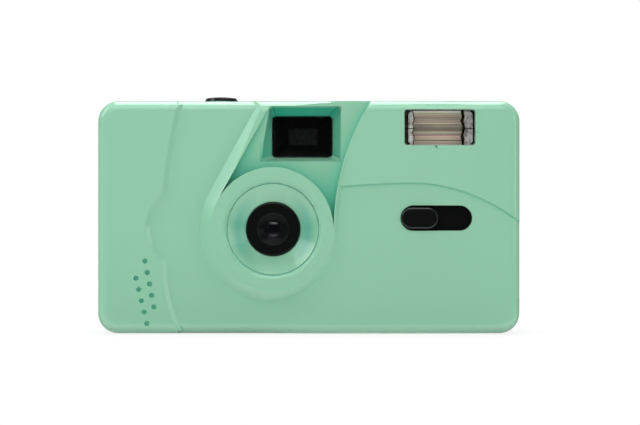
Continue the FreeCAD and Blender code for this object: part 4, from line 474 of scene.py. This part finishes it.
def clear(name, colour, haze_low=0.01, haze_high=0.04):
    """Clear moulded acrylic with a faint haze and a wipe mark."""
    material, tree, surface, place = shader(name)
    smear = joined(tree, "ShaderNodeTexNoise", Vector=place, Scale=160.0, Detail=4.0)
    dress(tree, surface, Base_Color=colour + (1,), Transmission_Weight=1.0, IOR=acrylic_ior, Specular_IOR_Level=0.1,
          Roughness=ranged(tree, smear.outputs["Fac"], to_min=haze_low, to_max=haze_high))
    lets_light_in(tree, surface, colour)
    return material


clear_acrylic = clear("clear_acrylic", (0.94, 0.96, 0.97))
finder_glass = pane("finder_glass", finder_limits, finder_levels, finder_corner, finder_soft, finder_flange,
                    clear_acrylic)
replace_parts(finder_glass, "finder_window")

# Behind the window: a black tapered tunnel, moulded in one, and a smoked acrylic eyepiece.
# The eyepiece's flange holds it in the rear cover, and from the front it is a faint grey oblong.
finished("finder_tunnel", dark_abs)
smoked, tree, surface, place = shader("smoked")
dust = joined(tree, "ShaderNodeTexNoise", Vector=place, Scale=900.0, Detail=4.0).outputs["Fac"]
dress(tree, surface, Transmission_Weight=0.2, IOR=acrylic_ior,
      Base_Color=greyed(tree, ranged(tree, dust, 0.3, 0.7, 0.035, 0.08)),
      Roughness=ranged(tree, dust, to_min=0.1, to_max=0.25))
finished("finder_eyepiece", smoked)

# The finder's mouth: its four sloping walls meet in moulded hollow curves, not in sharp corners.
# Each curve is mint ABS, one with the cover, and widens a little towards the window.
# For each corner: its place at the front, its place at the window, and the way to the middle.
mouth_corners = [
    ((-0.0132, 0.0464), (-0.0100, 0.0476), (1, 1)), ((0.0087, 0.0464), (0.0064, 0.0476), (-1, 1)),
    ((0.0087, 0.0613), (0.0064, 0.0588), (-1, -1)), ((-0.0105, 0.0613), (-0.0100, 0.0588), (1, -1)),
]
mouth_plane, window_plane = -0.0143, -0.01052
low_start, high_start = -0.01383, -0.0151
curve_radius, curve_growth, curve_root = 0.0009, 0.0003, 0.0003
curve_slices, curve_steps = 8, 6
fillet_mesh = bmesh.new()
for (near_x, near_z), (far_x, far_z), (side_x, side_z) in mouth_corners:
    rows = []
    start = low_start if side_z > 0 else high_start
    for step in range(curve_slices + 1):
        level = start + (window_plane - start) * step / curve_slices
        inward = max(0.0, (level - mouth_plane) / (window_plane - mouth_plane))
        corner_x = near_x + (far_x - near_x) * inward
        corner_z = near_z + (far_z - near_z) * inward
        radius = curve_radius + curve_growth * inward
        row = []
        for k in range(curve_steps + 1):
            angle = k * pi / 2 / curve_steps
            row.append((corner_x + side_x * radius * (1 - sin(angle)), level,
                        corner_z + side_z * radius * (1 - cos(angle))))
        row.append((corner_x - side_x * curve_root, level, corner_z - side_z * curve_root))
        rows.append([fillet_mesh.verts.new(point) for point in row])
    for upper, lower in zip(rows, rows[1:]):
        for k in range(len(upper)):
            after = (k + 1) % len(upper)
            fillet_mesh.faces.new((upper[k], upper[after], lower[after], lower[k]))
    fillet_mesh.faces.new(rows[0])
    fillet_mesh.faces.new(rows[-1])
bmesh.ops.recalc_face_normals(fillet_mesh, faces=fillet_mesh.faces)
kept("mouth_fillets", fillet_mesh, "camera", mint_abs)

# The flash's window: a clear acrylic pane like the finder's, nearly flush with the front cover.
# A wider lip behind the cover's wall holds it in.
flash_limits, flash_levels = (0.0258, 0.0447, 0.0509, 0.0603), (-0.0155, -0.0142)
flash_corner, flash_soft, flash_flange = 0.0009, 0.00015, 0.0004
ribbed_acrylic = clear("ribbed_acrylic", (0.95, 0.96, 0.95), haze_low=0.0, haze_high=0.02)
flash_pane = pane("flash_pane", flash_limits, flash_levels, flash_corner, flash_soft, flash_flange, ribbed_acrylic)
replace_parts(flash_pane, "flash_window")

# The reflector: a trough of bright rolled foil, bent round the tube and open to the window.
# Its colour is painted with the reflections of the tube and the window's ribs, as level stripes of beige, pink, white
# and brown.
# The tones are given from the lower lip to the upper one.
trough_left, trough_right, trough_low, trough_high = 0.0283, 0.0415, 0.0511, 0.0602
trough_front, trough_back, foil_gauge = -0.0123, -0.0088, 0.0002
bend_power, section_steps = 0.8, 14
stripe_low, stripe_high = 0.0510, 0.0602
reflection_tones_painted = [
    (0.03, (0.42, 0.36, 0.29)), (0.19, (0.40, 0.33, 0.27)), (0.24, (0.66, 0.56, 0.46)),
    (0.30, (0.72, 0.42, 0.38)), (0.335, (0.16, 0.13, 0.12)), (0.36, (0.92, 0.92, 0.86)),
    (0.41, (0.60, 0.58, 0.48)), (0.48, (0.80, 0.72, 0.62)), (0.56, (0.62, 0.62, 0.52)),
    (0.62, (0.76, 0.66, 0.56)), (0.675, (0.70, 0.26, 0.27)), (0.71, (0.56, 0.44, 0.38)),
    (0.78, (0.70, 0.62, 0.52)), (0.87, (0.44, 0.36, 0.30)), (0.93, (0.68, 0.60, 0.48)),
    (0.985, (0.48, 0.52, 0.42)), (1.0, (1.0, 1.0, 1.0)),
]
stripe_shake, line_contrast = 0.05, (0.55, 2.1)
foil, tree, surface, place = shader("foil")
stretch = joined(tree, "ShaderNodeMapping", Vector=place, Scale=(18, 300, 1300)).outputs[0]
streak = joined(tree, "ShaderNodeTexNoise", Vector=stretch, Scale=1.0, Detail=3.0, Roughness=0.55).outputs["Fac"]
foil_z = joined(tree, "ShaderNodeSeparateXYZ", Vector=place).outputs["Z"]
up_the_foil = ranged(tree, foil_z, stripe_low, stripe_high)
painted_reflection_stripes = joined(tree, "ShaderNodeValToRGB", Fac=reckoned(tree, "MULTIPLY_ADD", streak, stripe_shake, up_the_foil))
ramp = painted_reflection_stripes.color_ramp
for level, colour in reflection_tones_painted[1:-1]:
    ramp.elements.new(level)
for element, (level, colour) in zip(ramp.elements, reflection_tones_painted):
    element.position = level
    element.color = colour + (1,)
# Painted highlights and shade: fine level streaks lighten and darken the painted stripes.
hairline = joined(tree, "ShaderNodeMapping", Vector=place, Scale=(9, 100, 5200)).outputs[0]
hairs = joined(tree, "ShaderNodeTexNoise", Vector=hairline, Scale=1.0, Detail=1.0).outputs["Fac"]
painted_streaks = greyed(tree, ranged(tree, hairs, 0.35, 0.6, *line_contrast))
foil_painted_light = blended(tree, 1.0, painted_reflection_stripes.outputs["Color"], painted_streaks, "MULTIPLY")
crinkle = joined(tree, "ShaderNodeBump", Height=streak, Strength=0.4, Distance=0.00002)
# Painted glow: the foil also glows faintly in its painted colours, though it is no lamp.
dress(tree, surface, Base_Color=foil_painted_light, Emission_Color=foil_painted_light, Emission_Strength=0.16, Metallic=0.05,
      Roughness=ranged(tree, streak, to_min=0.25, to_max=0.45), Normal=crinkle.outputs[0])


def foil_strength(piece, thickness, offset=0):
    """Gives a sheet its thickness, on both sides or on one."""
    gauge = piece.modifiers.new("gauge", "SOLIDIFY")
    gauge.thickness = thickness
    gauge.offset = offset


trough_middle, trough_half = (trough_low + trough_high) / 2, (trough_high - trough_low) / 2
bend = []
for i in range(section_steps + 1):
    angle = pi * i / section_steps
    bend.append((trough_front + (trough_back - trough_front) * sin(angle) ** bend_power,
                 trough_middle - trough_half * cos(angle)))
trough_mesh = bmesh.new()
rails = [[trough_mesh.verts.new((x, y, z)) for y, z in bend] for x in (trough_left, trough_right)]
for i in range(section_steps):
    trough_mesh.faces.new((rails[0][i], rails[1][i], rails[1][i + 1], rails[0][i + 1]))
bmesh.ops.recalc_face_normals(trough_mesh, faces=trough_mesh.faces)
flash_trough = kept("flash_trough", trough_mesh, "camera", foil, crease=50)
foil_strength(flash_trough, foil_gauge)
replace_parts(flash_trough, "flash_reflector")

# The trough's ends: thin bright foil, folded in flat facets from the trough to the window's sides.
# Each end is painted in patches of lighter and darker grey, a painted sheen for light caught unevenly on the creases.
end_spans = ((trough_left, 0.0264), (trough_right + 0.0006, 0.0444))
end_front, end_lip, end_floor, end_gauge = -0.01235, -0.0110, -0.0099, 0.00015
crease_out, crease_in, end_folds = 0.00025, -0.0001, 3
end_foil, tree, surface, place = shader("end_foil")
patch = joined(tree, "ShaderNodeTexVoronoi", Vector=place, Scale=620.0).outputs["Distance"]
# Painted sheen: the grey lightens and darkens in patches, and the ends glow faintly in it, though they are no lamp.
painted_sheen = greyed(tree, ranged(tree, patch, 0.1, 0.6, 0.4, 1.0))
crease_line = joined(tree, "ShaderNodeBump", Height=patch, Strength=0.3, Distance=0.00005)
dress(tree, surface, Base_Color=painted_sheen, Emission_Color=painted_sheen, Emission_Strength=0.15, Metallic=0.35,
      Roughness=ranged(tree, patch, to_min=0.2, to_max=0.4), Normal=crease_line.outputs[0])
end_mesh = bmesh.new()
for inner_x, outer_x in end_spans:
    inner, outer = [], []
    for i in range(2 * end_folds + 1):
        crease_x = inner_x + (crease_out if i % 2 else crease_in)
        crease_y = end_lip if i in (0, 2 * end_folds) else end_floor
        level = trough_low + (trough_high - trough_low) * i / (2 * end_folds)
        inner.append(end_mesh.verts.new((crease_x, crease_y, level)))
    for i in range(end_folds + 1):
        level = trough_low + (trough_high - trough_low) * i / end_folds
        outer.append(end_mesh.verts.new((outer_x, end_front, level)))
    for i in range(end_folds):
        end_mesh.faces.new((inner[2 * i], inner[2 * i + 1], outer[i]))
        end_mesh.faces.new((inner[2 * i + 1], outer[i + 1], outer[i]))
        end_mesh.faces.new((inner[2 * i + 1], inner[2 * i + 2], outer[i + 1]))
bmesh.ops.recalc_face_normals(end_mesh, faces=end_mesh.faces)
foil_ends = kept("foil_ends", end_mesh, "camera", end_foil, crease=1)
foil_strength(foil_ends, end_gauge)

# The tube's fixings: ragged black seals close the trough at each end of the flash tube; these dark strips are partly
# the seals and partly painted shade at the trough's ends.
# A dark lead runs out from each, and the holders' black rim frames the window from inside.
# The seals are given by their middle lines, from the top down.
left_seal = [(0.0281, 0.0602), (0.0285, 0.0577), (0.0281, 0.0566), (0.0284, 0.0554), (0.0281, 0.0541),
             (0.0285, 0.0529), (0.0282, 0.0511)]
right_seal = [(0.0413, 0.0602), (0.0416, 0.0585), (0.0412, 0.0574), (0.0419, 0.0562), (0.0421, 0.0554),
              (0.0417, 0.0543), (0.0413, 0.0533), (0.0416, 0.0511)]
left_half, right_half, seal_gauge = 0.00014, 0.00026, 0.00008
seal_plane, lead_plane, rim_plane = -0.01238, -0.01245, -0.01249
lead_spans, lead_radius, tube_z = ((0.0265, 0.0284), (0.0421, 0.0443)), 0.00011, 0.0554
rim_corners = (((0.0257, 0.0508), (0.0280, 0.0522)), ((0.0448, 0.0508), (0.0432, 0.0522)),
               ((0.0448, 0.0604), (0.0432, 0.0590)), ((0.0257, 0.0604), (0.0280, 0.0590)))
rim_outer_radius, rim_inner_radius, rim_steps = 0.00008, 0.0011, 6
# Partly painted shade: the ragged dark strips stand for the seals and for the shade at the trough's ends.
seal_mesh = bmesh.new()
for seal, half in ((left_seal, left_half), (right_seal, right_half)):
    sides = [[seal_mesh.verts.new((x + shift, seal_plane, z)) for x, z in seal] for shift in (-half, half)]
    for i in range(len(seal) - 1):
        seal_mesh.faces.new((sides[0][i], sides[1][i], sides[1][i + 1], sides[0][i + 1]))
for lead_start, lead_end in lead_spans:
    lead = bmesh.ops.create_cone(seal_mesh, cap_ends=True, segments=12, radius1=lead_radius, radius2=lead_radius,
                                 depth=lead_end - lead_start)["verts"]
    bmesh.ops.rotate(seal_mesh, verts=lead, matrix=Matrix.Rotation(pi / 2, 3, "Y"))
    bmesh.ops.translate(seal_mesh, verts=lead, vec=((lead_start + lead_end) / 2, lead_plane, tube_z))
outer_row, inner_row = [], []
for quarter, ((outer_x, outer_z), (inner_x, inner_z)) in enumerate(rim_corners):
    for k in range(rim_steps + 1):
        angle = pi + (quarter + k / rim_steps) * pi / 2
        outer_row.append(seal_mesh.verts.new((outer_x + rim_outer_radius * cos(angle), rim_plane,
                                              outer_z + rim_outer_radius * sin(angle))))
        inner_row.append(seal_mesh.verts.new((inner_x + rim_inner_radius * cos(angle), rim_plane,
                                              inner_z + rim_inner_radius * sin(angle))))
for i in range(len(outer_row)):
    after = (i + 1) % len(outer_row)
    seal_mesh.faces.new((outer_row[i], outer_row[after], inner_row[after], inner_row[i]))
bmesh.ops.recalc_face_normals(seal_mesh, faces=seal_mesh.faces)
tube_seals_and_shade = kept("tube_seals_and_shade", seal_mesh, "camera", black_abs, crease=40)
foil_strength(tube_seals_and_shade, seal_gauge, offset=-1)

# The flash tube: drawn glass, slightly warm, with each end in the hole of a black moulded holder.
# The holders stand at the reflector's ends.
tube_glass = clear("tube_glass", (0.95, 0.9, 0.86), haze_low=0.05, haze_high=0.1)
finished("flash_tube", tube_glass)
finished("tube_holders", dark_abs)

# The flash circuit behind the front cover: a brown laminate board with chips soldered to it,
# the capacitor in a plain dark sleeve, and two parts wound in lacquered copper wire.
laminate = moulding("laminate", (0.30, 0.19, 0.075), drift=0.12, rough=0.5, spread=0.08, grain=1800, peel=0.00002)
chip_epoxy = moulding("chip_epoxy", (0.02, 0.02, 0.021), drift=0.2, rough=0.5, spread=0.1, grain=2500, peel=0.00001)
sleeve = moulding("sleeve", (0.012, 0.013, 0.03), drift=0.15, rough=0.3, spread=0.05, grain=900, peel=0.00001)
copper, tree, surface, place = shader("copper")
turns = joined(tree, "ShaderNodeTexWave", Vector=place, Scale=1400.0, Distortion=0.6).outputs["Fac"]
wound = joined(tree, "ShaderNodeBump", Height=turns, Strength=0.8, Distance=0.00005)
dress(tree, surface, Metallic=0.9, Base_Color=blended(tree, turns, (0.25, 0.09, 0.035, 1), (0.62, 0.28, 0.12, 1)),
      Roughness=ranged(tree, turns, to_min=0.25, to_max=0.4), Normal=wound.outputs[0])
for part, material in (("flash_board", laminate), ("board_parts", chip_epoxy), ("flash_capacitor", sleeve),
                       ("flash_transformer", copper), ("trigger_coil", copper)):
    finished(part, material)

# The flash switch: a glossy black ABS knob with softened ends, one with its plate.
# The plate slides behind the slot of the front cover.
finished("flash_switch", black_abs)

# The top: the domed shutter button in black ABS, which slides in its guide, and the frame counter.
# The counter's white dial turns under a clear window, whose flange lies under the rear cover's top.
white_abs = moulding("white_abs", (0.78, 0.78, 0.76), drift=0.02, rough=0.4, spread=0.05, grain=1200, peel=0.000008)
finished("shutter_button", black_abs)
finished("counter_window", clear_acrylic)
finished("counter_dial", white_abs)

# The dial's numbers: every third frame from 0 to 33, printed in black ink round the dial's top.
# They turn with the dial.
dial_axis, dial_top, number_radius = (-0.016, 0.007), 0.05801, 0.0046
frames_on_dial, frames_apart, number_size, ink_depth = 36, 3, 0.0017, 0.00002
print_ink = moulding("print_ink", (0.02, 0.02, 0.022), drift=0.1, rough=0.5, spread=0.05, grain=2000, peel=0.000004)
to_dial = Matrix.Translation((*dial_axis, dial_top))
to_rim = Matrix.Translation((0, -number_radius, 0))
number_mesh = bmesh.new()
for count in range(0, frames_on_dial, frames_apart):
    figure = bpy.data.curves.new("figure", "FONT")
    figure.body = str(count)
    figure.size = number_size
    figure.extrude = ink_depth
    figure.align_x, figure.align_y = "CENTER", "CENTER"
    holder = bpy.data.objects.new("figure", figure)
    printed = bpy.data.meshes.new_from_object(holder)
    printed.transform(to_dial @ Matrix.Rotation(2 * pi * count / frames_on_dial, 4, "Z") @ to_rim)
    number_mesh.from_mesh(printed)
    bpy.data.objects.remove(holder)
    bpy.data.meshes.remove(printed)
bmesh.ops.remove_doubles(number_mesh, verts=number_mesh.verts, dist=0.0000005)
kept("dial_numbers", number_mesh, "dial", print_ink)

# The controls at the back, side and base: thumbwheel, rewind knob with its crank, rewind release
# and door latch, all in glossy black ABS. Each turns or slides in its own opening of the rear cover.
for control in ("advance_wheel", "rewind_knob", "rewind_crank", "rewind_release", "door_latch"):
    finished(control, black_abs)

# The ready lamp: a small red acrylic lens in the rear cover, beside the eyepiece, dark here.
# A flange behind the cover's wall holds it in its hole.
lamp_red = clear("lamp_red", (0.9, 0.18, 0.05), haze_low=0.1, haze_high=0.2)
finished("ready_lamp", lamp_red)

# Inside: the chassis with its chambers, the spool, the sprocket, the levers and the rewind fork,
# moulded in matt black ABS so that no light strays on the film.
for works in ("chassis", "takeup_spool", "sprocket", "button_guide", "release_lever", "cocking_lever",
              "rewind_fork", "rewind_cup"):
    finished(works, dark_abs)

# Steel: pins, screws, the pressure plate on its leaf, the pawl, the bracket and the contacts.
# They are punched or turned from bright stock, with fine drawing marks along it.
steel, tree, surface, place = shader("steel")
lay = joined(tree, "ShaderNodeMapping", Vector=place, Scale=(600, 600, 60)).outputs[0]
brush = joined(tree, "ShaderNodeTexNoise", Vector=lay, Scale=6.0, Detail=4.0).outputs["Fac"]
scratch = joined(tree, "ShaderNodeBump", Height=brush, Strength=0.3, Distance=0.00001)
dress(tree, surface, Metallic=1.0, Base_Color=blended(tree, brush, (0.46, 0.46, 0.47, 1), (0.62, 0.62, 0.63, 1)),
      Roughness=ranged(tree, brush, to_min=0.24, to_max=0.42), Normal=scratch.outputs[0])
for metal in ("pressure_plate", "pressure_spring", "wheel_pawl", "lever_bracket", "cocking_pin", "crank_pin",
              "door_hinge_pin", "case_screws", "chassis_screws", "battery_contact", "spring_contact"):
    finished(metal, steel)

# The coil springs: under the shutter button, at the battery's end and under the door latch's plate.
# Each is wound from round steel wire, in the space of the plain sleeve that it replaces.
segments_round_wire, segments_each_turn = 10, 28


def coil(name, node, body, radius, wire, centre, low, high, turns):
    """A helical spring of round wire, from one level to another."""
    mesh = bmesh.new()
    loop = bmesh.ops.create_circle(mesh, cap_ends=False, segments=segments_round_wire, radius=wire / 2)["verts"]
    bmesh.ops.rotate(mesh, verts=loop, matrix=Matrix.Rotation(pi / 2, 3, "X"))
    bmesh.ops.translate(mesh, verts=loop, vec=(centre[0] + radius, centre[1], low + wire / 2))
    steps = int(turns * segments_each_turn)
    bmesh.ops.spin(mesh, geom=mesh.verts[:] + mesh.edges[:], cent=(*centre, 0), axis=(0, 0, 1),
                   dvec=(0, 0, (high - low - wire) / steps), angle=2 * pi * turns, steps=steps, use_merge=False)
    bmesh.ops.holes_fill(mesh, edges=[e for e in mesh.edges if e.is_boundary], sides=0)
    bmesh.ops.recalc_face_normals(mesh, faces=mesh.faces)
    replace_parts(kept(name, mesh, body, steel, crease=60), node)


coil("button_coil", "button_spring", "camera", radius=0.003, wire=0.0005, centre=(-0.0242, -0.0005),
     low=0.0572, high=0.0598, turns=2.5)
coil("battery_coil", "battery_spring", "battery_lid", radius=0.003, wire=0.0005, centre=(0.048, 0.0006),
     low=0.0015, high=0.0044, turns=3)
coil("latch_coil", "latch_spring", "camera", radius=0.00055, wire=0.00022, centre=(0.0546, 0.0052),
     low=0.0144, high=0.019, turns=7)

# The battery: one cell in a plain dark shrink wrap that leaves both ends bare.
# It stands in the chassis's tube, between its contact and the spring of the battery door.
wrap = moulding("wrap", (0.03, 0.032, 0.036), drift=0.1, rough=0.3, spread=0.05, grain=700, peel=0.000006)
finished("battery", wrap)
